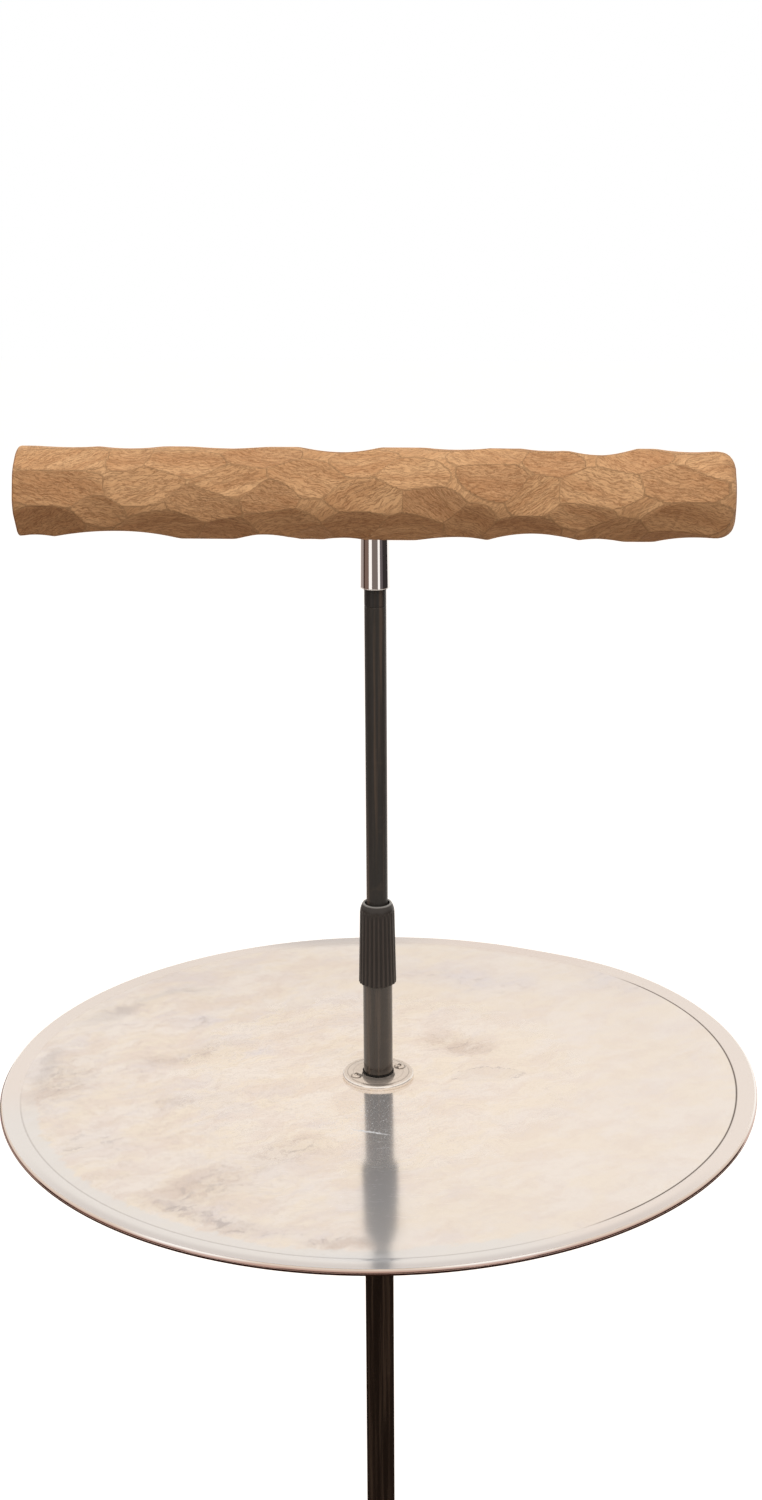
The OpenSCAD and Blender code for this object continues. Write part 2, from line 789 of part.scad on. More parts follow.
perch_bar();
perch_socket();
socket_wood_screw();
tube_end_fitting();
upper_tube();
guide_bush();
clutch_grip();
clutch_collet();
clutch_body();
lower_tube();
flange_seal();
tray_flange();
flange_screws();
tray();
tray_gasket();
tray_collar();
collar_set_screws();
base_plate();
foot_plug();
base_bolt();
base_washer();
base_feet();
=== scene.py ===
"""Looks of a floor-standing T perch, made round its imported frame.

Sizes are in metres. The origin is on the floor under the tube's axis, +Z is up and the bar lies along X.
"""

import json
import math
from types import SimpleNamespace

import bmesh
import bpy
import numpy as np
from bpy.props import FloatProperty, FloatVectorProperty, IntProperty, PointerProperty
from mathutils import Matrix, Vector

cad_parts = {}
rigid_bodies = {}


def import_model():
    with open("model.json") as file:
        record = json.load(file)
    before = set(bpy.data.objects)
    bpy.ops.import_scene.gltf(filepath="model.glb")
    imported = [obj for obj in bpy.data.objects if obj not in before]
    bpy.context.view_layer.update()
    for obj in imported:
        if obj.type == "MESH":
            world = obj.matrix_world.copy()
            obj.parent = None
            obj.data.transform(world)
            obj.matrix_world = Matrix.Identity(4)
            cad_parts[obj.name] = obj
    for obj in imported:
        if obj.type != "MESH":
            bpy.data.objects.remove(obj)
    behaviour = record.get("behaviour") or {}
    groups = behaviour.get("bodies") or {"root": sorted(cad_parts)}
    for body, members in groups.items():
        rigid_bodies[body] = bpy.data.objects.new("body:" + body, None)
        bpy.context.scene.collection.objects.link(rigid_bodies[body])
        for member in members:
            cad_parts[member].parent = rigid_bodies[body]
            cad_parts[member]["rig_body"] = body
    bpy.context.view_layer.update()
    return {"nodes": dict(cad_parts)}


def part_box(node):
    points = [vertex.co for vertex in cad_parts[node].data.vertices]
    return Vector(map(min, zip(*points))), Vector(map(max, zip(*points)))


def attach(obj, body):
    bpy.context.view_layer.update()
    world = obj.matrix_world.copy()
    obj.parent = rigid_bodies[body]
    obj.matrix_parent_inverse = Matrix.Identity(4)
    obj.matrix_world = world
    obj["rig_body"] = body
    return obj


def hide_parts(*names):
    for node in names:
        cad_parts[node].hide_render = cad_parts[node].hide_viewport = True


bl_info = {
    "name": "T Perch Stand",
    "version": (1, 0, 0),
    "blender": (4, 5, 0),
    "location": "3D View > Sidebar > Perch Stand",
    "description": "Carved bar, polished socket, black tubes, spun tray and iron base on the packed frame",
    "category": "Add Mesh",
}

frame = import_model()
MM = 0.001
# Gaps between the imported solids, where they are pressed or screwed together and where they slide
PRESSED_GAP = 0.05 * MM
SLIDING_GAP = 0.08 * MM
# How far a cutter reaches past what it cuts
PAST = 1 * MM
WHITE = (1.0, 1.0, 1.0)
WARM_WHITE = (1.0, 0.955, 0.91)
SHARP_ANGLE = math.radians(38)


def srgb(red, green, blue):
    """A screen colour from 0 to 255 as the linear values that materials use."""
    shares = (red / 255, green / 255, blue / 255)
    return tuple(s / 12.92 if s <= 0.04045 else ((s + 0.055) / 1.055) ** 2.4 for s in shares)


# Kinds of setting


def length(label, note, millimetres):
    """A size, given in millimetres."""
    return FloatProperty(name=label, description=note, default=millimetres * MM, precision=5, unit="LENGTH")


def turn(label, note, degrees):
    """An angle, given in degrees."""
    return FloatProperty(name=label, description=note, default=math.radians(degrees), unit="ROTATION")


def share(label, note, value):
    """A number from 0 to 1."""
    return FloatProperty(name=label, description=note, default=value, min=0.0, max=1.0, subtype="FACTOR")


def number(label, note, value):
    """A count."""
    return IntProperty(name=label, description=note, default=value, min=1)


def colour(label, note, red, green, blue):
    """A colour, given as a screen colour from 0 to 255."""
    return FloatVectorProperty(
        name=label, description=note, default=srgb(red, green, blue), min=0.0, max=1.0, subtype="COLOR"
    )


# Node trees


class Value:
    """A socket in a node tree. Arithmetic on it adds Math nodes, or Vector Math nodes for a vector."""

    def __init__(self, tree, socket):
        self.tree = tree
        self.socket = socket

    def other(self, name):
        """Another output of the same node."""
        return Value(self.tree, self.socket.node.outputs[name])

    def __add__(self, other):
        return self.tree.math("ADD", self, other)

    def __radd__(self, other):
        return self.tree.math("ADD", other, self)

    def __sub__(self, other):
        return self.tree.math("SUBTRACT", self, other)

    def __rsub__(self, other):
        return self.tree.math("SUBTRACT", other, self)

    def __mul__(self, other):
        return self.tree.math("MULTIPLY", self, other)

    def __rmul__(self, other):
        return self.tree.math("MULTIPLY", other, self)

    def __truediv__(self, other):
        return self.tree.math("DIVIDE", self, other)

    def __rtruediv__(self, other):
        return self.tree.math("DIVIDE", other, self)


class Tree:
    """A shader or geometry tree that is being built."""

    def __init__(self, node_tree):
        self.nodes = node_tree.nodes
        self.links = node_tree.links

    def node(self, kind, settings=None, sockets=None, out=0):
        """Adds a node, sets its settings and then its sockets, and gives one of its outputs."""
        made = self.nodes.new(kind)
        for name, setting in (settings or {}).items():
            setattr(made, name, setting)
        for name, value in (sockets or {}).items():
            self.feed(made.inputs[name], value)
        return Value(self, made.outputs[out]) if len(made.outputs) else None

    def feed(self, socket, value):
        """Links a socket, or sets its own value."""
        if isinstance(value, Value):
            self.links.new(value.socket, socket)
        elif socket.type == "RGBA":
            socket.default_value = (*value, 1.0)
        elif socket.type == "VECTOR" and isinstance(value, (int, float)):
            socket.default_value = (value, value, value)
        else:
            socket.default_value = value

    def math(self, operation, *values):
        """A Math node, or a Vector Math node where one of the values is a vector."""
        vector = any(isinstance(v, Value) and v.socket.type == "VECTOR" for v in values)
        kind = "ShaderNodeVectorMath" if vector else "ShaderNodeMath"
        return self.node(kind, {"operation": operation}, dict(enumerate(values)))

    def hypotenuse(self, a, b):
        """The long side over two sides at a right angle."""
        return self.math("SQRT", a * a + b * b)

    def parts(self, vector):
        """The X, Y and Z of a vector."""
        x = self.node("ShaderNodeSeparateXYZ", None, {0: vector})
        return x, x.other("Y"), x.other("Z")

    def vector(self, x, y, z):
        """A vector from its parts."""
        return self.node("ShaderNodeCombineXYZ", None, {0: x, 1: y, 2: z})

    def step(self, value, low, high):
        """0 up to low, 1 from high, and smooth between them."""
        sockets = {"Value": value, "From Min": low, "From Max": high}
        return self.node("ShaderNodeMapRange", {"interpolation_type": "SMOOTHSTEP"}, sockets)

    def band(self, value, middle, width):
        """1 at the middle, falling to 0 at one width on either side."""
        return 1 - self.step(self.math("ABSOLUTE", value - middle), 0.0, width)

    def noise(self, where, scale, detail=2.0, roughness=0.5, distortion=0.0):
        """Soft noise from 0 to 1."""
        return self.node("ShaderNodeTexNoise", None, {
            "Vector": where, "Scale": scale, "Detail": detail,
            "Roughness": roughness, "Distortion": distortion,
        })

    def blend(self, amount, first, second):
        """The first colour where the amount is 0, and the second where it is 1."""
        return self.node("ShaderNodeMix", {"data_type": "RGBA"}, {0: amount, 6: first, 7: second}, out=2)

    def place(self):
        """Where a point is on the object."""
        return self.node("ShaderNodeTexCoord", out="Object")

    def attribute(self, name, out):
        """A value that the mesh carries."""
        return self.node("ShaderNodeAttribute", {"attribute_name": name}, out=out)

    def bump(self, height, distance):
        """A surface normal for a height from 0 to 1, over a real distance."""
        sockets = {"Strength": 1.0, "Distance": distance, "Height": height}
        return self.node("ShaderNodeBump", None, sockets)

    def seen_by_eye_or_mirror(self):
        """1 for camera, glossy and transmission rays."""
        camera = self.node("ShaderNodeLightPath", out="Is Camera Ray")
        mirror = self.math("MAXIMUM", camera.other("Is Glossy Ray"), camera.other("Is Transmission Ray"))
        return self.math("MAXIMUM", camera, mirror)


def empty_tree(holder):
    """Gives a material or a world an empty node tree."""
    holder.use_nodes = True
    tree = Tree(holder.node_tree)
    tree.nodes.clear()
    return tree


def material(name, paint, *values):
    """A material from a paint function.

    The function gives the sockets of one Principled layer, or of a lower and an upper layer and how far the
    upper one covers the lower.
    """
    made = bpy.data.materials.new(name)
    tree = empty_tree(made)
    layers = paint(tree, *values)
    if isinstance(layers, dict):
        shader = tree.node("ShaderNodeBsdfPrincipled", None, layers)
    else:
        lower, upper, cover = layers
        lower = tree.node("ShaderNodeBsdfPrincipled", None, lower)
        upper = tree.node("ShaderNodeBsdfPrincipled", None, upper)
        shader = tree.node("ShaderNodeMixShader", None, {0: cover, 1: lower, 2: upper})
    tree.node("ShaderNodeOutputMaterial", None, {"Surface": shader})
    return made


def scaled(base, factor):
    """A colour made lighter or darker."""
    return tuple(min(1.0, c * factor) for c in base)


# Finishes


def carved_wood(t, bar, half_length, axis_z):
    """Oiled hardwood: short wavy fibres whose run and tone change from one gouge cut to the next."""
    grain = t.attribute("grain", "Vector")
    tone = t.attribute("tone", "Fac")
    ridge = t.attribute("ridge", "Fac")
    sway = t.noise(grain * (70, 90, 1), 1, 3) - 0.5
    flow = grain + t.vector(0, sway * (8 * MM), 0)
    bands = t.noise(flow * (14, 95, 1), 1, 4, 0.6)
    fibres = t.noise(flow * (190, 1100, 1), 1, 4, 0.7, 0.4)
    hairs = t.noise(flow * (330, 1500, 1), 1, 3, 0.7, 0.3)
    nap = t.noise(grain * (640, 480, 1), 1, 3, 0.7)
    lines = t.step(fibres, 0.46, 0.62)
    gleam = t.step(hairs, 0.5, 0.64)
    fuzz = t.step(nap, 0.42, 0.66)
    rough_cut = t.step(tone, 0.35, 0.8)
    body = t.blend(t.step(bands, 0.34, 0.66), bar.wood_tan, bar.wood_light)
    body = t.blend(t.step(tone, 0.1, 1.0) * 0.34, body, bar.wood_brown)
    body = t.blend(fuzz * (0.12 + 0.26 * rough_cut), body, bar.wood_brown)
    body = t.blend(lines * 0.54, body, bar.wood_dark)
    body = t.blend(gleam * 0.34, body, bar.wood_light)
    body = t.blend(ridge * 0.2, body, bar.wood_light)
    x, y, z = t.parts(t.place())
    pith_y = y - bar.pith_offset
    pith_z = z - (axis_z + bar.pith_offset)
    from_pith = t.hypotenuse(pith_y, pith_z)
    round_pith = t.math("ARCTAN2", pith_z, pith_y)
    uneven = t.noise(t.place(), 90, 3) * (2.4 * MM)
    rings = t.math("SINE", (from_pith + uneven) * (2 * math.pi / bar.ring_spacing)) * 0.5 + 0.5
    pores = t.step(t.noise(t.place(), 1500, 2), 0.56, 0.7)
    rays = t.step(t.noise(t.vector(round_pith * 22, from_pith * 60, x), 1, 3), 0.55, 0.72)
    cut_end = t.blend(rings * 0.45, bar.wood_brown, bar.wood_dark)
    cut_end = t.blend(pores * 0.5 + rays * 0.3, cut_end, scaled(bar.wood_dark, 0.6))
    end = t.step(t.math("ABSOLUTE", x), half_length - 1.6 * MM, half_length - 0.2 * MM)
    height = (1 - lines) * 0.5 + (1 - fuzz * rough_cut) * 0.3 + gleam * 0.2
    return {
        "Base Color": t.blend(end, body, cut_end),
        "Roughness": 0.58 + lines * 0.12 + tone * 0.06,
        "Specular IOR Level": 0.25,
        "Normal": t.bump(height, 0.35 * MM),
    }


def polished_steel(t, base, roughness):
    """Polished steel with faint lengthwise polishing lines and a few handling marks."""
    where = t.place()
    lines = t.noise(where * (1500, 1500, 30), 1, 2)
    marks = t.noise(where, 120, 4, 0.6)
    return {
        "Base Color": t.blend(t.step(marks, 0.55, 0.8) * 0.2, base, scaled(base, 0.88)),
        "Metallic": 1.0,
        "Roughness": roughness + lines * 0.02 + t.step(marks, 0.5, 0.8) * 0.03,
        "Normal": t.bump(lines, 0.001 * MM),
    }


def black_coating(t, base, worn, roughness, gloss):
    """Black coating: a fine even skin, faint lighter lengthwise streaks that are partly worn and partly
    painted sheen, and a little dust.
    """
    where = t.place()
    skin = t.noise(where, 1400, 2)
    rub_and_sheen_streaks = t.noise(where * (240, 240, 5), 1, 4, 0.6)
    dust = t.noise(where, 70, 5, 0.65)
    # Lighter lengthwise streaks: partly worn, partly painted sheen
    wear_and_sheen = t.step(rub_and_sheen_streaks, 0.46, 0.7) * 0.7 + t.step(dust, 0.58, 0.8) * 0.25
    return {
        "Base Color": t.blend(wear_and_sheen, base, worn),
        "Roughness": roughness + rub_and_sheen_streaks * 0.06 + wear_and_sheen * 0.08,
        "Specular IOR Level": gloss,
        "Normal": t.bump(skin, 0.008 * MM),
    }


def moulded_grip(t, grip, low, bottom, taper, lip_top):
    """Moulded plastic: rib crests lighter, partly worn and partly painted highlight, a painted highlight on
    its lip and painted shade between the ribs.
    """
    where = t.place()
    x, y, z = t.parts(where)
    skin = bottom - (z - low) * taper
    crest = t.step(t.hypotenuse(x, y) - skin, grip.flute_depth * -0.6, grip.flute_depth * -0.1)
    ribbed = 1 - t.step(z, lip_top - grip.shoulder * 1.6, lip_top - grip.shoulder * 0.6)
    lip = t.step(z, lip_top - 1.1 * MM, lip_top - 0.3 * MM)
    grains = t.noise(where, 2200, 2)
    rub_and_sheen_streaks = t.noise(where * (300, 300, 60), 1, 3, 0.6)
    # Lighter rib crests and lip: partly worn, partly painted highlight
    wear_and_sheen = t.math("MAXIMUM", crest * ribbed * (0.2 + 0.24 * rub_and_sheen_streaks), lip * 0.8)
    body = t.blend(wear_and_sheen, grip.plastic, grip.worn)
    # Painted shade in the flutes between the ribs
    body = t.blend((1 - crest) * ribbed * 0.45, body, scaled(grip.plastic, 0.5))
    # Painted highlight along the lip
    body = t.blend(lip * 0.7, body, grip.lip)
    return {
        "Base Color": body,
        "Roughness": 0.34 + grains * 0.08 + (1 - crest) * ribbed * 0.2,
        "Specular IOR Level": 0.5,
        "Normal": t.bump(grains, 0.01 * MM),
    }


def plain_rubber(t, base):
    """Black rubber with a dusty bloom."""
    where = t.place()
    grains = t.noise(where, 1800, 3)
    bloom = t.step(t.noise(where, 45, 5, 0.65), 0.5, 0.78)
    return {
        "Base Color": t.blend(bloom * 0.35, base, scaled(base, 3.2)),
        "Roughness": 0.68 + grains * 0.16,
        "Specular IOR Level": 0.3,
        "Normal": t.bump(grains, 0.04 * MM),
    }


def moulded_plastic(t, base, roughness):
    """Plain moulded plastic with a faint grain."""
    where = t.place()
    grains = t.noise(where, 1600, 3)
    clouds = t.noise(where, 60, 3)
    return {
        "Base Color": t.blend(clouds * 0.35, base, scaled(base, 0.8)),
        "Roughness": roughness + grains * 0.12,
        "Specular IOR Level": 0.4,
        "Normal": t.bump(grains, 0.02 * MM),
    }


def turned_metal(t, base, roughness, ring_scale):
    """Metal turned on a lathe: fine rings about the axis, with light handling marks."""
    where = t.place()
    x, y, z = t.parts(where)
    rings = t.noise(t.vector(t.hypotenuse(x, y), z, 0.0), ring_scale, 3, 0.6)
    marks = t.noise(where, 150, 5, 0.65)
    dull = t.step(marks, 0.5, 0.75)
    return {
        "Base Color": t.blend(rings * 0.3 + dull * 0.25, base, scaled(base, 0.72)),
        "Metallic": 1.0,
        "Roughness": roughness + rings * 0.08 + dull * 0.1,
        "Normal": t.bump(rings, 0.01 * MM),
    }


def plated_steel(t, base, roughness):
    """Plain or plated steel of the fixings, slightly clouded."""
    where = t.place()
    clouds = t.noise(where, 220, 4, 0.6)
    spots = t.step(t.noise(where, 900, 3), 0.6, 0.75)
    return {
        "Base Color": t.blend(clouds * 0.5 + spots * 0.2, base, scaled(base, 0.6)),
        "Metallic": 1.0,
        "Roughness": roughness + clouds * 0.16,
        "Normal": t.bump(clouds, 0.01 * MM),
    }


def cast_iron(t, base, worn, rim_radius):
    """Black enamel on cast iron: a slight orange peel, scuffed at the rim and dusty on top."""
    where = t.place()
    x, y, _ = t.parts(where)
    peel = t.noise(where, 420, 3, 0.55)
    casting = t.noise(where, 60, 4, 0.6)
    scuffs = t.step(t.noise(where * (60, 60, 260), 1, 5, 0.7), 0.56, 0.72)
    rim = t.step(t.hypotenuse(x, y), rim_radius - 8 * MM, rim_radius - 1 * MM)
    dust = t.step(casting, 0.42, 0.75) * 0.35
    return {
        "Base Color": t.blend(dust + rim * scuffs * 0.6, base, worn),
        "Roughness": 0.38 + peel * 0.12 + dust * 0.3,
        "Specular IOR Level": 0.45,
        "Normal": t.bump(peel * 0.6 + casting * 0.4, 0.18 * MM),
    }


def around_screws(t, x, y, mounting):
    """Distance along the ground to the axis of the nearest flange screw."""
    c, d = math.cos(mounting.screw_angle), math.sin(mounting.screw_angle)
    along = t.math("ABSOLUTE", x * c + y * d) - mounting.screw_circle / 2
    return t.hypotenuse(along, y * c - x * d)


def flange_aluminium(t, mounting, outer):
    """Turned aluminium under a thin dull film, with fine rings and with dirt round the screw heads."""
    where = t.place()
    x, y, z = t.parts(where)
    radius = t.hypotenuse(x, y)
    rings = t.noise(t.vector(radius, z, 0.0), 1300, 3, 0.6)
    lines = t.band(radius, outer * 0.86, 0.5 * MM) + t.band(radius, outer * 0.7, 0.4 * MM) * 0.6
    edge = t.step(radius, outer * 0.94, outer * 0.99)
    marks = t.noise(where, 150, 5, 0.65)
    dull = t.step(marks, 0.45, 0.75)
    dirt = t.band(around_screws(t, x, y, mounting), mounting.screw_diameter * 1.06, 0.7 * MM)
    grime = t.math("MINIMUM", lines * 0.6 + dirt * 0.8, 1.0)
    worn = rings * 0.25 + dull * 0.2
    base = t.blend(worn, mounting.aluminium, scaled(mounting.aluminium, 0.72))
    base = t.blend(edge * 0.8, base, mounting.bright)
    film = t.blend(worn, mounting.film, scaled(mounting.film, 0.78))
    metal = {
        "Base Color": t.blend(grime, base, mounting.grime),
        "Metallic": 1.0,
        "Roughness": 0.14 + rings * 0.06 + dull * 0.08,
        "Normal": t.bump(rings, 0.004 * MM),
    }
    over = {"Base Color": t.blend(grime, film, mounting.grime), "Roughness": 0.5 + dull * 0.1}
    return metal, over, (0.34 + dull * 0.1) * (1 - edge * 0.7)


def screw_head(t, mounting, top):
    """Bright screw: a clean domed head with dirt in its cross and at its foot."""
    where = t.place()
    x, y, z = t.parts(where)
    off_axis = around_screws(t, x, y, mounting)
    marks = t.noise(where, 900, 3, 0.6)
    cross = 1 - t.step(off_axis, mounting.screw_diameter * 0.3, mounting.screw_diameter * 0.5)
    foot = 1 - t.step(z, top + 0.1 * MM, top + 0.5 * MM)
    grime = t.math("MAXIMUM", cross * 0.55, foot * 0.9)
    base = t.blend(marks * 0.2, mounting.aluminium, scaled(mounting.aluminium, 0.8))
    metal = {
        "Base Color": t.blend(grime, base, mounting.grime),
        "Metallic": 1.0,
        "Roughness": 0.2 + marks * 0.08,
        "Normal": t.bump(marks, 0.004 * MM),
    }
    over = {"Base Color": t.blend(grime, mounting.film, mounting.grime), "Roughness": 0.5 + marks * 0.1}
    return metal, over, 0.3


def patch(t, x, y, place):
    """A soft leaning patch, 1 about its middle and 0 from its edge on."""
    *sizes, lean = place
    along, across, reach, width = (size * MM for size in sizes)
    c, d = math.cos(math.radians(lean)), math.sin(math.radians(lean))
    u = ((x - along) * c + (y - across) * d) / reach
    v = ((y - across) * c - (x - along) * d) / width
    return 1 - t.step(t.hypotenuse(u, v), 0.25, 1.0)


# Patches of the tray: millimetres along the bar and across it, half length, half width, lean in degrees
BROWN_PATCHES = [
    (-244, -20, 60, 34, 84), (-108, -180, 60, 34, 30), (-152, -56, 30, 12, 10), (58, 62, 46, 28, -20),
    (-60, -130, 40, 24, 40), (-104, -226, 70, 12, -26), (-10, -252, 40, 10, 0), (-150, 30, 60, 16, 30),
]
LAVENDER_PATCHES = [
    (-196, -118, 40, 34, 0), (-152, 96, 34, 24, 0), (-110, -214, 60, 12, -28), (-50, -240, 66, 18, -8),
    (60, 190, 90, 30, -8), (-94, 38, 16, 12, 0), (200, 190, 60, 40, -40),
]
SHADED_PATCHES = [(-226, 106, 52, 13, 48), (-178, 150, 46, 10, 24), (-256, 6, 50, 9, 84)]
# Stretches of the rolled edge made bright where its highlight shows: painted highlight
POLISHED_HIGHLIGHT_PATCHES = [
    (-112, -262, 64, 30, -22), (96, -268, 66, 30, 18), (296, -10, 44, 170, 0), (-292, 0, 30, 90, 0),
]
SPILL = (84, 4, 38, 15, 4)
ROSY_REAR = (110, 268, 160, 40, -20)
# Painted shade on the rim at the back
REAR_RIM_SHADE = (-110, 285, 190, 36, 0)
HANDLED = (0, -120, 150, 150, 0)
SCUFFED = (0, -72, 60, 60, 0)


def patches(t, x, y, places):
    """Several soft patches together, from 0 to 1."""
    total = 0
    for place in places:
        total = patch(t, x, y, place) + total
    return t.math("MINIMUM", total, 1.0)


def drifted(t, x, y):
    """Places on the tray, pushed about a little, so that nothing has a clean outline."""
    sway = t.noise(t.vector(x, y, 0.0), 24, 5, 0.65) - 0.5
    swing = t.noise(t.vector(y, x, 0.3), 24, 5, 0.65) - 0.5
    return t.vector(x + sway * (40 * MM), y + swing * (40 * MM), 0.0)


def tray_zones(t, x, y, ragged, step_radius, outer):
    """How far a point belongs to each zone of the tray, from 0 to 1."""
    radius = t.hypotenuse(x, y)
    right = t.step(x - y * 0.08, 165 * MM, 200 * MM)
    front = t.step(y * -1, 120 * MM, 220 * MM)
    front_left = t.step(x * -1 - y, 60 * MM, 160 * MM) * t.step(y * -1, 20 * MM, 100 * MM)
    _, _, facing_up = t.parts(t.node("ShaderNodeNewGeometry", out="Normal"))
    return SimpleNamespace(
        floor=1 - t.step(radius, step_radius - 0.4 * MM, step_radius + 1.2 * MM),
        outward=t.step(radius, 50 * MM, step_radius),
        left=1 - t.step(x, -240 * MM, 200 * MM),
        # Painted cool reflection at the front left
        cool_reflection=front_left * t.step(radius + ragged, step_radius - 12 * MM, step_radius - 8 * MM),
        past_step=t.step(radius, step_radius - 10 * MM, step_radius - 3 * MM),
        # Painted shade line along the step, strongest on the right
        crease=t.band(radius, step_radius, 1.1 * MM) * (0.04 + right + front_left * 0.25),
        near_step=t.band(radius, step_radius, 8 * MM) * t.band(x, 0.0, 60 * MM) * front,
        # Painted grey shade before the rolled edge at the front
        front_rim_shade=t.step(radius, outer - 11 * MM, outer - 5 * MM) * front,
        rolled=t.step(radius, outer - 2.4 * MM, outer - 1.6 * MM),
        # Painted shade where the rolled edge faces down
        below=(1 - t.step(facing_up, 0.5, 0.9)) * t.step(radius, outer - 2.7 * MM, outer - 2.2 * MM),
    )


def floor_colour(t, tray, u, v, wiped, crust, brown, left):
    """Cream metal with clouds in three tints, dried stains and crumbs, and the mark of a spill."""
    sandy = t.step(t.noise(wiped, 26, 9, 0.72), 0.43, 0.57)
    rosy = t.step(t.noise(wiped + (3, 1, 0), 34, 9, 0.74), 0.46, 0.58)
    pale = t.step(t.noise(wiped + (1, 5, 0), 22, 9, 0.72), 0.5, 0.6)
    wrinkles = t.band(t.noise(wiped, 90, 6, 0.72, 0.4), 0.5, 0.03)
    cool = patches(t, u, v, LAVENDER_PATCHES)
    shaded = patches(t, u, v, SHADED_PATCHES)
    crumbs = t.step(crust + (brown + cool) * 0.05, 0.58, 0.68)
    spill = patch(t, u, v, SPILL) + (crust - 0.5) * 0.8
    spilt = t.band(spill, 0.42, 0.12) * rosy * 0.7 + t.step(spill, 0.3, 0.6) * 0.1
    base = t.blend(sandy * (0.55 + 0.3 * left), tray.cream, tray.sand)
    base = t.blend(rosy * (0.3 + 0.26 * left), base, tray.rose)
    base = t.blend(pale * (0.16 + 0.26 * left), base, tray.lavender)
    base = t.blend(brown * (0.2 + 0.4 * rosy), base, tray.stain)
    base = t.blend(cool * (0.3 + 0.35 * pale), base, tray.lavender)
    base = t.blend(wrinkles * (0.1 + 0.24 * brown + 0.2 * left), base, scaled(tray.stain, 0.75))
    base = t.blend(crumbs * (0.08 + 0.14 * left + 0.26 * (brown + cool)), base, tray.crumb)
    base = t.blend(shaded * (0.3 + 0.3 * rosy), base, tray.dirt)
    return t.blend(spilt, base, tray.dirt)


def rim_colour(t, tray, x, y, zone, base):
    """Adds the outer part: the painted cool reflection at the front left, a rose stretch and painted shade
    at the back, the painted shade line at the step, painted grey shade before the rolled edge at the front,
    and the rolled edge with painted highlight stretches and painted shade under it.
    """
    base = t.blend(zone.floor, tray.rim_metal, base)
    # Painted cool reflection on the rim at the front left
    base = t.blend(zone.cool_reflection * 0.8, base, tray.cool)
    base = t.blend(patch(t, x, y, ROSY_REAR) * zone.past_step * 0.5, base, tray.rose)
    # Painted shade on the rim at the back
    base = t.blend(patch(t, x, y, REAR_RIM_SHADE) * zone.past_step * 0.8, base, tray.rim_shade)
    # Painted shade line along the step
    base = t.blend(zone.crease, base, tray.crease)
    # Painted grey shade before the rolled edge at the front
    base = t.blend(zone.front_rim_shade * 0.55, base, tray.dirt)
    # Rolled edge: brighter metal in patches where its highlight shows, a painted highlight, and duller
    # metal elsewhere
    bead_polish_and_highlight = t.blend(patches(t, x, y, POLISHED_HIGHLIGHT_PATCHES), scaled(tray.rim_metal, 0.82), tray.clean)
    base = t.blend(zone.rolled, base, bead_polish_and_highlight)
    # Painted shade under the rolled edge
    return t.blend(zone.below * 0.85, base, tray.underside)


def tray_scratches(t, tray, where, x, y):
    """Fine scratches and flecks in front of the tube, and one long scratch."""
    across = t.noise(where * (60, 1300, 0), 1, 3, 0.6)
    slanted = t.noise(t.vector(x + y * 0.7, (y - x * 0.7) * 9, 0), 150, 3, 0.6)
    flecks = t.noise(where * (620, 240, 0), 1, 4, 0.7)
    fine = (t.step(across, 0.64, 0.69) + t.step(slanted, 0.66, 0.71)) * patch(t, x, y, HANDLED)
    fine = fine + t.step(flecks, 0.58, 0.66) * patch(t, x, y, SCUFFED) * 1.3
    line = y - (tray.scratch_y - x * 0.28 + (t.noise(where, 330, 3) - 0.5) * (6 * MM))
    long_scratch = t.band(line, 0.0, 1.7 * MM) * t.band(x, 0.6 * MM, 18 * MM)
    return t.math("MINIMUM", fine * 0.35 + long_scratch, 0.66)


def tray_aluminium(t, tray, step_radius, outer):
    """Spun aluminium gone cream with use: clouded, stained to its left, scuffed and scratched."""
    where = t.place()
    x, y, _ = t.parts(where)
    drift = drifted(t, x, y)
    u, v, _ = t.parts(drift)
    c, d = math.cos(tray.streak_turn), math.sin(tray.streak_turn)
    wiped = t.vector((u * c + v * d) * 0.5, v * c - u * d, 0.0)
    clouds = t.noise(drift, 9, 5, 0.6)
    crust = t.noise(wiped + (7, 2, 0), 130, 5, 0.7)
    brown = patches(t, u, v, BROWN_PATCHES)
    zone = tray_zones(t, x, y, (crust + clouds - 1) * (20 * MM), step_radius, outer)
    specks = t.step(t.noise(where * (420, 520, 0), 1, 3, 0.6), 0.72, 0.77)
    base = floor_colour(t, tray, u, v, wiped, crust, brown, zone.left)
    base = t.blend(specks * 0.4, base, scaled(tray.stain, 0.45))
    metal = {
        "Base Color": rim_colour(t, tray, x, y, zone, base),
        "Metallic": 1.0,
        "Roughness": 0.095 + 0.04 * clouds + 0.05 * brown,
        "Normal": t.bump(t.noise(where, 260, 2), 0.003 * MM),
    }
    film = t.blend(brown * 0.3, tray.film, scaled(tray.film, 0.7))
    # The film carries the painted shade line at the step too
    film = {"Base Color": t.blend(zone.crease, film, tray.crease), "Roughness": 0.5 + 0.1 * crust}
    cover = 0.23 + 0.12 * zone.outward + 0.25 * zone.near_step + tray_scratches(t, tray, where, x, y)
    return metal, film, cover * (1 - zone.rolled)


# Shapes


def arc(centre, radius, start, end, steps):
    """Points of an arc in the outline of a turned piece, with its angles in degrees."""
    angles = [math.radians(start + (end - start) * i / steps) for i in range(steps + 1)]
    return [(centre[0] + radius * math.cos(a), centre[1] + radius * math.sin(a)) for a in angles]


def link(name, data):
    """A new object in the scene."""
    made = bpy.data.objects.new(name, data)
    bpy.context.scene.collection.objects.link(made)
    return made


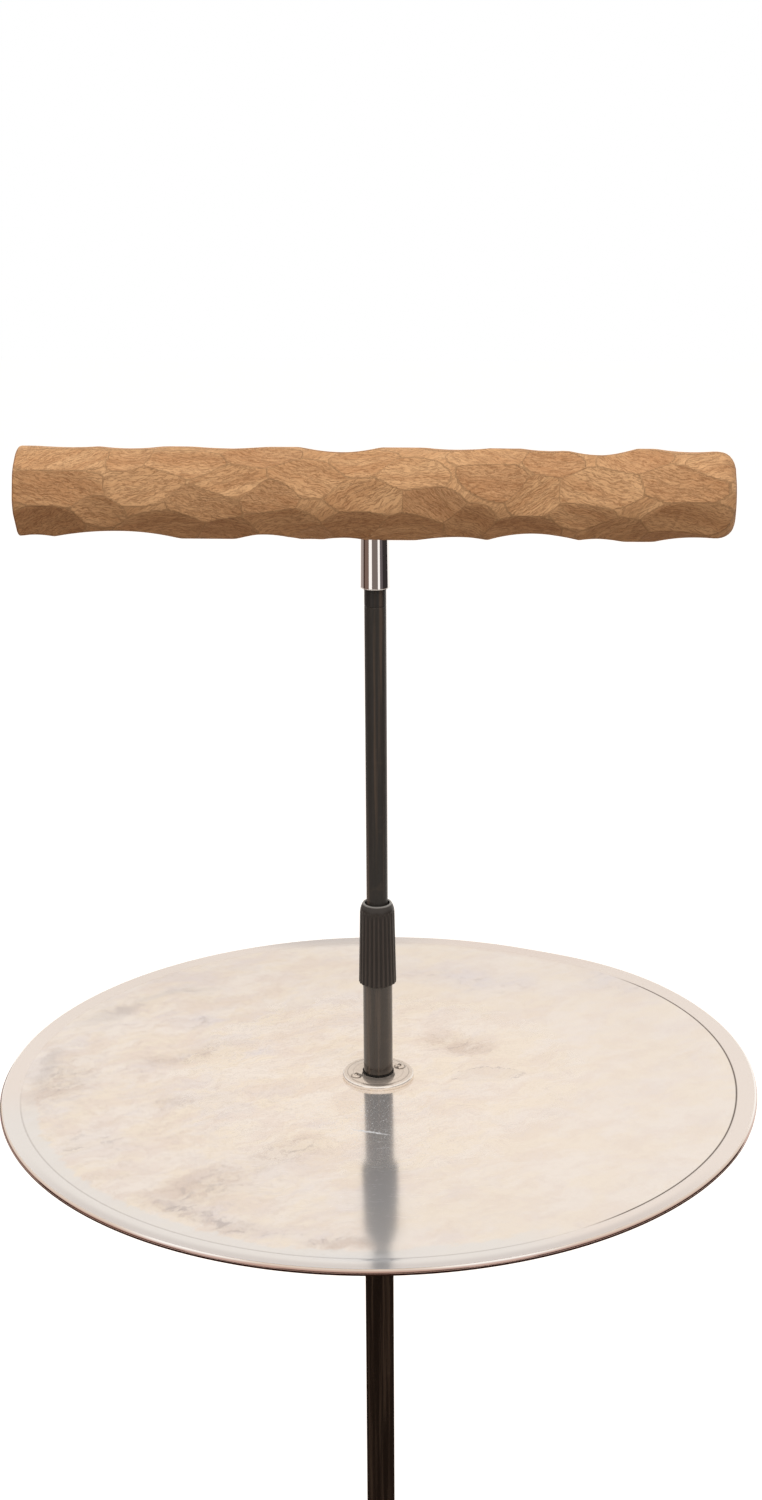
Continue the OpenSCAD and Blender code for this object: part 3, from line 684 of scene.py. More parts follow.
def from_bmesh(name, work):
    """A new object from a bmesh, with its faces pointing outwards."""
    bmesh.ops.recalc_face_normals(work, faces=work.faces)
    mesh = bpy.data.meshes.new(name)
    work.to_mesh(mesh)
    work.free()
    return link(name, mesh)


def turned(name, outline, segments=128):
    """A closed solid of revolution about the Z axis from an outline of radius and height."""
    work = bmesh.new()
    rings = []
    for radius, height in outline:
        spread = segments if radius > 0 else 1
        angles = [2 * math.pi * i / segments for i in range(spread)]
        points = [(radius * math.cos(a), radius * math.sin(a), height) for a in angles]
        rings.append([work.verts.new(point) for point in points])
    for ring, following in zip(rings, rings[1:] + rings[:1]):
        for i in range(segments):
            j = (i + 1) % segments
            corners = [
                ring[i % len(ring)], ring[j % len(ring)],
                following[j % len(following)], following[i % len(following)],
            ]
            face = list(dict.fromkeys(corners))
            if len(face) > 2:
                work.faces.new(face)
    return from_bmesh(name, work)


def tube_outline(outer, inner, low, high, edge):
    """Outline of a tube or ring whose edges are broken by a small bevel."""
    return [
        (outer - edge, low), (outer, low + edge), (outer, high - edge), (outer - edge, high),
        (inner + edge, high), (inner, high - edge), (inner, low + edge), (inner + edge, low),
    ]


def rod(name, radius, low, high, place=(0, 0), segments=48, tilt=None):
    """A plain cylinder, used as a cutter. A tilt turns it about the origin before it is placed."""
    made = turned(name, [(0, low), (radius, low), (radius, high), (0, high)], segments)
    if tilt is not None:
        made.data.transform(tilt)
    made.data.transform(Matrix.Translation((place[0], place[1], 0)))
    return made


def block(name, low, high):
    """A box from its two corners, used as a cutter."""
    work = bmesh.new()
    bmesh.ops.create_cube(work, size=1.0)
    sizes = [b - a for a, b in zip(low, high)]
    centre = [(a + b) / 2 for a, b in zip(low, high)]
    bmesh.ops.scale(work, vec=sizes, verts=work.verts)
    bmesh.ops.translate(work, vec=centre, verts=work.verts)
    return from_bmesh(name, work)


def settle(made):
    """Makes the evaluated shape the object's own plain mesh."""
    graph = bpy.context.evaluated_depsgraph_get()
    mesh = bpy.data.meshes.new_from_object(
        made.evaluated_get(graph), preserve_all_data_layers=True, depsgraph=graph
    )
    if not mesh.polygons:
        raise RuntimeError(f"{made.name} came out with no faces")
    made.modifiers.clear()
    made.data = mesh
    mesh.name = made.name


def cut(made, *cutters):
    """Cuts other shapes out of an object, and deletes them."""
    for cutter in cutters:
        modifier = made.modifiers.new("cut", "BOOLEAN")
        modifier.operation = "DIFFERENCE"
        modifier.solver = "EXACT"
        modifier.object = cutter
    settle(made)
    for cutter in cutters:
        bpy.data.objects.remove(cutter)


def angles_round(count, start):
    """Angles of copies evenly round the Z axis."""
    return [start + 2 * math.pi * i / count for i in range(count)]


def on_circle(count, start, radius):
    """Places of copies evenly on a circle round the Z axis."""
    return [(radius * math.cos(a), radius * math.sin(a)) for a in angles_round(count, start)]


def floats(*labels):
    """Inputs of a geometry tree that are plain numbers."""
    return tuple((label, "NodeSocketFloat") for label in labels)


def geometry_tree(name, inputs, build):
    """A Geometry Nodes tree with named inputs that ends in real geometry with its material set."""
    group = bpy.data.node_groups.new(name, "GeometryNodeTree")
    group.interface.new_socket("Geometry", in_out="INPUT", socket_type="NodeSocketGeometry")
    for label, kind in (*inputs, ("Material", "NodeSocketMaterial")):
        group.interface.new_socket(label, in_out="INPUT", socket_type=kind)
    group.interface.new_socket("Geometry", in_out="OUTPUT", socket_type="NodeSocketGeometry")
    t = Tree(group)
    start = t.node("NodeGroupInput")
    real = t.node("GeometryNodeRealizeInstances", None, {"Geometry": build(t, start)})
    sockets = {"Geometry": real, "Material": start.other("Material")}
    t.node("NodeGroupOutput", None, {"Geometry": t.node("GeometryNodeSetMaterial", None, sockets)})
    return group


def grow(made, group, values):
    """Runs a Geometry Nodes tree on an object and keeps its result as a plain mesh."""
    modifier = made.modifiers.new(group.name, "NODES")
    modifier.node_group = group
    for item in group.interface.items_tree:
        if item.in_out == "INPUT" and item.name in values:
            modifier[item.identifier] = values[item.name]
    settle(made)


def ring_of_copies():
    """Tree that repeats the object's mesh evenly round the Z axis."""
    inputs = (("Count", "NodeSocketInt"), *floats("Circle Radius", "Start Angle"))

    def build(t, start):
        count = start.other("Count")
        radius = start.other("Circle Radius")
        angle = start.other("Start Angle") + t.node("GeometryNodeInputIndex") * (2 * math.pi) / count
        place = t.vector(t.math("COSINE", angle) * radius, t.math("SINE", angle) * radius, 0.0)
        points = t.node("GeometryNodePoints", None, {"Count": count, "Position": place})
        turning = t.node("FunctionNodeEulerToRotation", None, {0: t.vector(0.0, 0.0, angle)})
        sockets = {"Points": points, "Instance": start, "Rotation": turning}
        return t.node("GeometryNodeInstanceOnPoints", None, sockets)

    return geometry_tree("Ring of copies", inputs, build)


def fluting():
    """Tree that presses flutes into a tapered turned shape, as a round cutter would."""
    inputs = floats(
        "Flute Count", "Flute Depth", "Cutter Radius",
        "Bottom Radius", "Taper", "Bottom Height", "Flute Top", "Bore",
    )

    def build(t, start):
        x, y, z = t.parts(t.node("GeometryNodeInputPosition"))
        radius = t.hypotenuse(x, y)
        half_pitch = math.pi / start.other("Flute Count")
        angle = t.math("WRAP", t.math("ARCTAN2", y, x), half_pitch, half_pitch * -1.0)
        cutter = start.other("Cutter Radius")
        rise = z - start.other("Bottom Height")
        lift = t.step(z, start.other("Flute Top") - 3 * MM, start.other("Flute Top"))
        skin = start.other("Bottom Radius") - rise * start.other("Taper")
        depth = start.other("Flute Depth") * (1 - lift)
        line = skin - depth + cutter
        side = line * t.math("SINE", angle)
        reach = t.math("MAXIMUM", cutter * cutter - side * side, 0.0)
        pressed = line * t.math("COSINE", angle) - t.math("SQRT", reach)
        inside = t.math("GREATER_THAN", cutter, t.math("ABSOLUTE", side))
        outside_bore = t.math("GREATER_THAN", radius, start.other("Bore"))
        move = t.math("MINIMUM", pressed - radius, 0.0) * inside * outside_bore / radius
        sockets = {"Geometry": start, "Offset": t.vector(x * move, y * move, 0.0)}
        return t.node("GeometryNodeSetPosition", None, sockets)

    return geometry_tree("Fluting", inputs, build)


def hand_spun():
    """Tree that gives a sheet the waves, the lean and the bent rim of use, and keeps its middle flat."""
    inputs = floats(
        "Wave Height", "Wave Scale", "Flat Radius", "Rim Radius", "Slant", "Bend", "Bend Turn", "Sag",
    )

    def build(t, start):
        x, y, _ = t.parts(t.node("GeometryNodeInputPosition"))
        radius = t.hypotenuse(x, y)
        waves = t.noise(t.vector(x, y, 0.0), start.other("Wave Scale"), 1.0) - 0.5
        flat = start.other("Flat Radius")
        rim = start.other("Rim Radius")
        turned_by = start.other("Bend Turn")
        off_middle = t.step(radius, flat, flat * 1.8)
        fade = off_middle * (1 - t.step(radius, rim * 0.9, rim * 0.99))
        towards = (x * t.math("COSINE", turned_by) + y * t.math("SINE", turned_by)) / rim
        lift = waves * fade * start.other("Wave Height") * 2.0 + off_middle * x * start.other("Slant")
        lift = lift + t.step(towards, 0.74, 1.05) * start.other("Bend")
        lift = lift - off_middle * (y / rim) * (y / rim) * start.other("Sag")
        sockets = {"Geometry": start, "Offset": t.vector(0.0, 0.0, lift)}
        return t.node("GeometryNodeSetPosition", None, sockets)

    return geometry_tree("Hand spun", inputs, build)


def hand_over(made, node, finish):
    """Gives a finished mesh its material, and puts it on the body and in the place of its node."""
    made.data.shade_smooth()
    made.data.set_sharp_from_angle(angle=SHARP_ANGLE)
    made.data.materials.clear()
    made.data.materials.append(finish)
    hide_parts(node)
    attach(made, frame["nodes"][node]["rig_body"])


def keep_node(node, finish):
    """Gives a node of the frame its finish."""
    holder = frame["nodes"][node]
    if not holder.material_slots:
        holder.data.materials.append(finish)
    for place in holder.material_slots:
        place.material = finish


def heights(node):
    """Lowest and highest level of a node, and its largest radius from the Z axis."""
    low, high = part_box(node)
    return low.z, high.z, high.x


# Perch bar

# Gouge cuts that the front of the bar shows: millimetres along the bar, degrees round it from the front
# upwards, depth and length in millimetres, twist in degrees for each millimetre along the bar
FRONT_CUTS = [
    [-224, 58, 2.6, 86, 0.05], [-175, 62, 3.8, 36, 0.30], [-226, 16, 3.2, 96, -0.04],
    [-236, -34, 4.4, 60, 0.04], [-196, -12, 3.4, 40, -0.30], [-166, 20, 3.6, 68, 0.14],
    [-152, -42, 4.6, 72, 0.14], [-134, 52, 3.0, 72, -0.12], [-120, -4, 3.4, 56, -0.22],
    [-100, 28, 3.4, 60, 0.20], [-104, -48, 4.2, 50, 0.18], [-72, 4, 4.2, 44, 0.34],
    [-64, -34, 4.6, 60, -0.20], [-80, 64, 3.0, 60, 0.10], [-48, 32, 3.6, 62, -0.14],
    [-44, -58, 4.2, 40, 0.20], [-12, -36, 4.0, 58, 0.26], [-4, 6, 3.2, 62, -0.12],
    [-6, 56, 3.2, 52, 0.16], [28, 38, 3.2, 56, -0.16], [24, -42, 4.6, 62, 0.20],
    [44, -4, 3.8, 52, -0.26], [68, -28, 4.0, 42, 0.24], [86, 32, 4.4, 54, -0.30],
    [82, 66, 3.0, 60, 0.10], [106, -44, 4.2, 58, 0.12], [117, 10, 3.8, 46, 0.34],
    [128, 56, 3.4, 46, -0.20], [160, 20, 4.2, 74, 0.16], [172, -48, 4.8, 56, 0.16],
    [150, -16, 3.2, 50, -0.24], [186, 62, 3.6, 56, 0.20], [218, 26, 3.4, 70, -0.16],
    [222, -24, 4.4, 68, 0.18], [214, -60, 4.0, 58, -0.10], [246, 54, 3.2, 50, 0.10],
]
# Cuts along the top and the underside, in the same form
EDGE_CUTS = [
    [-222, 98, 1.8, 60, 0.05], [-176, 96, 2.4, 60, -0.10], [-104, 100, 2.0, 64, 0.12],
    [-25, 101, 4.2, 64, -0.10], [60, 98, 2.2, 56, 0.08], [128, 98, 2.8, 52, 0.10],
    [160, 101, 5.4, 60, -0.08], [228, 98, 3.2, 62, 0.10],
    [-190, -80, 6.4, 104, 0.06], [-77, -79, 4.2, 52, -0.10], [-22, -80, 2.4, 36, 0.10],
    [57, -79, 3.4, 62, 0.12], [116, -80, 6.4, 76, -0.06], [160, -78, 2.6, 44, 0.10],
    [232, -80, 4.4, 66, 0.06], [-246, -78, 2.8, 40, 0.05],
]
# Rows of cuts across the back, and cuts in each row
BACK_ROWS = 4
BACK_COLUMNS = 9
# Length of bar that the cuts are written for, in metres
CARVING_LENGTH = 0.516
# How far round the bar a cut reaches to either side of its middle, in degrees
CUT_REACH = 70


def degree_wave(wave, degrees):
    """Sine or cosine of an angle in degrees."""
    return wave(math.radians(degrees))


def back_cuts():
    """Cuts across the back, in rows from the top down to the underside."""
    cuts = []
    for row in range(BACK_ROWS):
        for column in range(BACK_COLUMNS):
            wobble = degree_wave(math.sin, 137 * column + 71 * row)
            along = (column + 0.5 * (row % 2)) / (BACK_COLUMNS - 0.5)
            cuts.append([
                -236 + 472 * along + 10 * wobble,
                128 + 36 * row + 6 * degree_wave(math.cos, 97 * column + 53 * row),
                4 + 0.8 * wobble,
                68 + 10 * degree_wave(math.cos, 61 * column + 40 * row),
                0.2 * wobble,
            ])
    return cuts


def scatter(index, seed):
    """A fixed number from 0 to 1 for each cut."""
    return math.modf(abs(math.sin((index + 1) * 12.9898 + seed * 78.233)) * 43758.5453)[0]


def bar_places(bar, half):
    """Places of the rings along the bar: on an arc at the rounded ends, even between them."""
    ease = [1 - math.cos(math.pi / 2 * i / bar.end_steps) for i in range(bar.end_steps + 1)]
    middle = np.linspace(bar.left_round - half, half - bar.right_round, bar.rings)[1:-1]
    left = [bar.left_round * e - half for e in ease]
    right = [half - bar.right_round * e for e in reversed(ease)]
    return np.concatenate([left, middle, right])


def carve(bar, half):
    """Radius, fibre run, tone and ridge of every point of the bar's skin."""
    radius = bar.diameter / 2
    x = bar_places(bar, half)[:, None]
    angle = np.linspace(0, 360, bar.sides, endpoint=False)[None, :]
    stretch = 2 * half / CARVING_LENGTH
    shape = (x.size, bar.sides)
    worn = np.ones(shape)
    nearest, second = np.full(shape, radius), np.full(shape, np.inf)
    owner = np.full(shape, -1)
    along = np.broadcast_to(x, shape).copy()
    across = np.broadcast_to(np.radians((angle + 180) % 360 - 180) * radius, shape).copy()
    for index, (place, middle, depth, reach, twist) in enumerate(FRONT_CUTS + EDGE_CUTS + back_cuts()):
        run = x / stretch - place * MM
        off = (angle - middle - twist * run / MM + 180) % 360 - 180
        deep = depth * MM
        flat = radius - deep + deep * (2 * run / (reach * MM)) ** 2
        slanted = flat / np.cos(np.radians(np.clip(off, -80, 80)))
        distance = np.where(np.abs(off) > CUT_REACH, radius, slanted)
        worn += np.exp(np.clip((radius - distance) / bar.crease, -60, 60))
        closer = distance < nearest
        second = np.where(closer, nearest, np.minimum(second, distance))
        nearest = np.where(closer, distance, nearest)
        owner = np.where(closer, index, owner)
        along = np.where(closer, run, along)
        across = np.where(closer, np.radians(off) * radius, across)
    rounding = np.where(x < 0, bar.left_round, bar.right_round)
    inside = np.minimum(half - np.abs(x), rounding)
    round_off = rounding - np.sqrt(np.maximum(0, rounding ** 2 - (rounding - inside) ** 2))
    skin = (radius - bar.crease * np.log(worn)) * (1 - round_off / radius)
    names = range(-1, int(owner.max()) + 1)
    tones = np.array([scatter(n, 1) for n in names])
    leans = np.array([bar.grain_lean * (2 * scatter(n, 2) - 1) for n in names])
    tone, lean = tones[owner + 1], leans[owner + 1]
    grain = np.stack([
        along * np.cos(lean) + across * np.sin(lean),
        across * np.cos(lean) - along * np.sin(lean),
        owner * 0.731,
    ], axis=-1)
    ridge = np.exp(-(second - nearest) / (bar.crease * 1.6))
    return x, np.radians(angle), skin, grain, tone, ridge


class BarSettings(bpy.types.PropertyGroup):
    """Sizes and colours of the carved bar."""

    diameter: length("Diameter", "Diameter over the ridges that the gouge leaves", 66.6)
    left_round: length("Left rounding", "Rounding of the bar's left end", 1.5)
    right_round: length("Right rounding", "Rounding of the bar's right end", 15)
    crease: length("Crease softness", "How far the ridge between two cuts is worn round", 0.16)
    rings: number("Rings", "Rings of faces along the bar", 470)
    sides: number("Sides", "Faces round the bar", 192)
    end_steps: number("End steps", "Rings on each rounded end", 8)
    grain_lean: turn("Grain lean", "Largest lean of the fibres in a cut", 40)
    socket_fit: length("Socket fit", "Gap round the socket's neck in its hole", 0.05)
    pith_offset: length("Pith offset", "How far the heart of the wood lies off the bar's axis", 9)
    ring_spacing: length("Ring spacing", "Distance between growth rings on the ends", 2.6)
    wood_tan: colour("Tan", "Main colour of the wood", 194, 145, 101)
    wood_light: colour("Light", "Bright fibres and worn ridges", 216, 170, 124)
    wood_brown: colour("Brown", "Darker cuts and the cut ends", 162, 112, 74)
    wood_dark: colour("Dark", "Dark fibres", 124, 79, 47)


class CarveBar(bpy.types.Operator):
    """Carves the wooden bar and drills it for the socket"""

    bl_idname = "stand.carve_bar"
    bl_label = "Carve Bar"

    def execute(self, context):
        bar = context.scene.stand_bar
        low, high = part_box("perch_bar")
        half = (high.x - low.x) / 2
        axis_z = high.z - bar.diameter / 2
        x, angle, skin, grain, tone, ridge = carve(bar, half)
        across, up = -skin * np.cos(angle), axis_z + skin * np.sin(angle)
        points = np.stack(np.broadcast_arrays(x, across, up), axis=-1)
        rings, sides = skin.shape
        ends = [(-half, 0, axis_z), (half, 0, axis_z)]
        index = np.arange(rings * sides).reshape(rings, sides)
        following = np.roll(index, -1, axis=1)
        quads = np.stack([index[:-1], index[1:], following[1:], following[:-1]], axis=-1).reshape(-1, 4)
        first, last = rings * sides, rings * sides + 1
        caps = [(first, a, b) for a, b in zip(index[0], following[0])]
        caps += [(last, b, a) for a, b in zip(index[-1], following[-1])]
        mesh = bpy.data.meshes.new("perch_bar_carved")
        mesh.from_pydata([*points.reshape(-1, 3), *ends], [], [*quads.tolist(), *caps])
        values = (
            ("grain", "FLOAT_VECTOR", "vector", grain),
            ("tone", "FLOAT", "value", tone),
            ("ridge", "FLOAT", "value", ridge),
        )
        for name, kind, field, data in values:
            width = data.shape[2] if data.ndim == 3 else 1
            flat = np.concatenate([data.reshape(-1), np.zeros(2 * width)]).astype(np.float32)
            mesh.attributes.new(name, kind, "POINT").data.foreach_set(field, flat)
        made = link("perch_bar_carved", mesh)
        work = bmesh.new()
        work.from_mesh(mesh)
        bmesh.ops.recalc_face_normals(work, faces=work.faces)
        work.to_mesh(mesh)
        work.free()
        socket = context.scene.stand_socket
        socket_top = heights("perch_socket")[1]
        screw_top = heights("socket_wood_screw")[1]
        neck_radius = socket.neck_diameter / 2 + bar.socket_fit
        screw_radius = socket.screw_diameter / 2 + bar.socket_fit
        neck = rod("neck", neck_radius, low.z - 2 * MM, socket_top, segments=96)
        pilot = rod("pilot", screw_radius, socket_top - PAST, screw_top + 0.3 * MM, segments=32)
        cut(made, neck, pilot)
        finish = material("Carved hardwood", carved_wood, bar, half, axis_z)
        hand_over(made, "perch_bar", finish)
        return {"FINISHED"}


# Socket


class SocketSettings(bpy.types.PropertyGroup):
    """Sizes and colour of the polished socket."""

    neck_diameter: length("Neck diameter", "Diameter where the socket meets the bar", 20.4)
    exposed: length("Exposed", "Length that shows below the bar", 34.6)
    lip_height: length("Lip height", "Height of the bright lip round the mouth", 0.8)
    bore_diameter: length("Bore", "Diameter of the hole for the tube's end", 15.9)
    end_wall: length("End wall", "Metal above the hole", 13)
    screw_diameter: length("Screw", "Diameter of the wood screw", 6)
    steel: colour("Steel", "Polished steel", 242, 240, 238)


class TurnSocket(bpy.types.Operator):
    """Turns the polished socket that carries the bar"""

    bl_idname = "stand.turn_socket"
    bl_label = "Turn Socket"

    def execute(self, context):
        socket = context.scene.stand_socket
        low, high, mouth = heights("perch_socket")
        bar_low = low + socket.exposed
        floor = high - socket.end_wall
        neck, bore, lip = socket.neck_diameter / 2, socket.bore_diameter / 2, socket.lip_height
        hole = socket.screw_diameter / 2 + PRESSED_GAP
        pocket = socket.screw_diameter + PRESSED_GAP
        pocket_top = floor + socket.screw_diameter * 0.55
        foot = mouth - lip * 0.3
        start = low + lip * 0.95
        # Rings close to both ends of the cone keep its shading even
        side = [(foot + (neck - foot) * s, start + (bar_low - start) * s) for s in (0, 0.04, 0.96, 1)]
        outline = [
            *arc((mouth - lip / 2, low + lip / 2), lip / 2, -90, 66, 9), *side,
            (neck, bar_low + 1 * MM), (neck, high), (hole, high), (hole, pocket_top), (pocket, pocket_top),
            (pocket, floor), (bore, floor), (bore, low + 0.5 * MM), (bore + 0.4 * MM, low),
        ]
        made = turned("perch_socket_polished", outline, 160)
        finish = material("Polished steel", polished_steel, socket.steel, 0.02)
        hand_over(made, "perch_socket", finish)
        return {"FINISHED"}


# Tubes


class TubeSettings(bpy.types.PropertyGroup):
    """Sizes and colours of the two tubes and the upper tube's end."""

    upper_wall: length("Upper wall", "Wall of the upper tube", 1.2)
    lower_wall: length("Lower wall", "Wall of the lower tube", 1.5)
    edge: length("Edge", "Bevel on the ends of the tubes", 0.3)
    groove: length("Groove", "Depth of the line under the end collar", 0.35)
    thread_pitch: length("Thread pitch", "Pitch of the thread on the end fitting", 1.5)
    thread_depth: length("Thread depth", "Depth of that thread", 0.7)
    fitting_black: colour("Fitting", "Black of the end fitting", 37, 35, 34)
    upper_black: colour("Upper tube", "Black of the upper tube", 46, 43, 40)
    lower_black: colour("Lower tube", "Black of the lower tube", 37, 29, 23)
    # Worn: lighter streaks and dust on the coating, partly worn and partly painted sheen
    worn_sheen_black: colour("Worn", "Rubbed and dusty coating", 92, 76, 64)


class FitUpperTube(bpy.types.Operator):
    """Makes the upper tube with its end fitting, and finishes the guide inside"""

    bl_idname = "stand.fit_upper_tube"
    bl_label = "Fit Upper Tube"

    def execute(self, context):
        tubes = context.scene.stand_tubes
        low, high, radius = heights("upper_tube")
        bore = radius - tubes.upper_wall
        worn = tubes.worn_sheen_black
        made = turned("upper_tube_black", tube_outline(radius, bore, low, high, tubes.edge))
        finish = material("Upper tube black", black_coating, tubes.upper_black, worn, 0.38, 0.4)
        hand_over(made, "upper_tube", finish)
        plug_low, thread_top, collar = heights("tube_end_fitting")
        collar_top = heights("perch_socket")[0] - 0.3 * MM
        plug = bore - PRESSED_GAP
        line = collar - tubes.groove
        crest = collar - SLIDING_GAP
        root = crest - tubes.thread_depth
        turns = int((thread_top - collar_top - 1 * MM) / tubes.thread_pitch)
        thread = []
        for i in range(turns):
            start = collar_top + 0.6 * MM + i * tubes.thread_pitch
            thread += [(crest, start + tubes.thread_pitch * 0.3), (root, start + tubes.thread_pitch)]
        outline = [
            (0, plug_low), (bore - 0.6 * MM, plug_low), (plug, plug_low + 0.8 * MM), (plug, high),
            (line, high), (line, high + tubes.groove * 1.6), (collar, high + tubes.groove * 2),
            (collar, collar_top - tubes.edge), (collar - tubes.edge, collar_top), (root, collar_top),
            *thread, (root, thread_top), (0, thread_top),
        ]
        fitting = turned("tube_end_fitting_black", outline)
        finish = material("End fitting black", black_coating, tubes.fitting_black, worn, 0.34, 0.4)
        hand_over(fitting, "tube_end_fitting", finish)
        keep_node("guide_bush", material("Nylon", moulded_plastic, srgb(226, 224, 216), 0.42))
        return {"FINISHED"}


class FitLowerTube(bpy.types.Operator):
    """Makes the lower tube"""

    bl_idname = "stand.fit_lower_tube"
    bl_label = "Fit Lower Tube"

    def execute(self, context):
        tubes = context.scene.stand_tubes
        low, high, radius = heights("lower_tube")
        bore = radius - tubes.lower_wall
        made = turned("lower_tube_black", tube_outline(radius, bore, low, high, tubes.edge))
        finish = material("Lower tube black", black_coating, tubes.lower_black, tubes.worn_sheen_black, 0.13, 0.9)
        hand_over(made, "lower_tube", finish)
        return {"FINISHED"}


# Clutch


class GripSettings(bpy.types.PropertyGroup):
    """Sizes and colours of the ribbed grip."""

    flutes: number("Flutes", "Number of flutes round the grip", 24)
    flute_depth: length("Flute depth", "Depth of each flute", 0.6)
    cutter_diameter: length("Cutter", "Diameter of the round cutter that makes a flute", 3)
    flute_end: length("Flute end", "How far the flutes run past the foot of the shoulder", 3.5)
    shoulder: length("Shoulder", "Height of the shoulder at the top", 7.5)
    top_radius: length("Top radius", "Radius at the foot of the shoulder", 12.98)
    lip_radius: length("Lip radius", "Radius to the middle of the lip's rounding", 10.4)
    lip_round: length("Lip rounding", "Rounding of the lip", 0.6)
    opening_radius: length("Opening", "Radius of the hole in the top", 9.3)
    chamfer_width: length("Chamfer width", "Width of the chamfer at the bottom", 2.3)
    chamfer_height: length("Chamfer height", "Height of that chamfer", 1.4)
    thread_radius: length("Thread", "Radius of the thread inside", 11.7)
    cavity_radius: length("Cavity", "Radius of the space for the collet", 10.28)
    cavity_height: length("Cavity height", "Height of that space above the clutch body", 21.3)
    cone_height: length("Cone height", "Height of the cone that closes the collet", 5)
    plastic: colour("Plastic", "Black plastic of the grip", 45, 39, 35)
    # Worn: lighter rib crests, partly worn and partly painted highlight
    worn: colour("Worn", "Rubbed crests of the ribs", 88, 78, 70)
    # Lip: painted highlight along the top of the grip
    lip: colour("Lip", "Rubbed lip at the top of the grip", 142, 140, 136)
    collet_grey: colour("Collet", "Dark grey plastic of the collet", 66, 63, 60)


class MouldGrip(bpy.types.Operator):
    """Makes the ribbed grip, and finishes the clutch parts inside it"""

    bl_idname = "stand.mould_grip"
    bl_label = "Mould Grip"

    def execute(self, context):
        grip = context.scene.stand_grip
        low, high, bottom = heights("clutch_grip")
        body_top = heights("clutch_body")[1]
        thread_top = body_top + 0.3 * MM
        cavity_top = body_top + grip.cavity_height
        straight_top = high - grip.shoulder
        taper = (bottom - grip.top_radius) / (straight_top - low)
        side_steps = 36
        side_low = low + grip.chamfer_height
        side = [
            (bottom - taper * (z - low), z)
            for z in (side_low + (straight_top - side_low) * i / side_steps for i in range(side_steps + 1))
        ]
        shoulder_steps = 14
        lip_foot = (grip.lip_radius + grip.lip_round * 0.94, high - grip.lip_round * 0.66)
        swell = 0.5 * MM
        shoulder = [
            (
                grip.top_radius + (lip_foot[0] - grip.top_radius) * s + swell * math.sin(math.pi * s),
                straight_top + (lip_foot[1] - straight_top) * s,
            )
            for s in (i / shoulder_steps for i in range(1, shoulder_steps))
        ]
        outline = [
            (bottom - grip.chamfer_width, low), *side, *shoulder,
            *arc((grip.lip_radius, high - grip.lip_round), grip.lip_round, 20, 90, 6),
            (grip.opening_radius + 0.3 * MM, high), (grip.opening_radius, high - 0.3 * MM),
            (grip.opening_radius, cavity_top), (grip.cavity_radius, cavity_top - grip.cone_height),
            (grip.cavity_radius, thread_top), (grip.thread_radius, thread_top), (grip.thread_radius, low),
        ]
        made = turned("clutch_grip_ribbed", outline, 20 * grip.flutes)
        finish = material("Grip plastic", moulded_grip, grip, low, bottom, taper, high)
        grow(made, fluting(), {
            "Flute Count": float(grip.flutes), "Flute Depth": grip.flute_depth, "Bottom Radius": bottom,
            "Cutter Radius": grip.cutter_diameter / 2, "Taper": taper, "Bottom Height": low,
            "Flute Top": straight_top + grip.flute_end, "Bore": grip.thread_radius + 0.2 * MM,
            "Material": finish,
        })
        hand_over(made, "clutch_grip", finish)
        keep_node("clutch_collet", material("Collet plastic", moulded_plastic, grip.collet_grey, 0.4))
        keep_node("clutch_body", material("Clutch body plastic", moulded_plastic, grip.plastic, 0.45))
        return {"FINISHED"}


# Tray


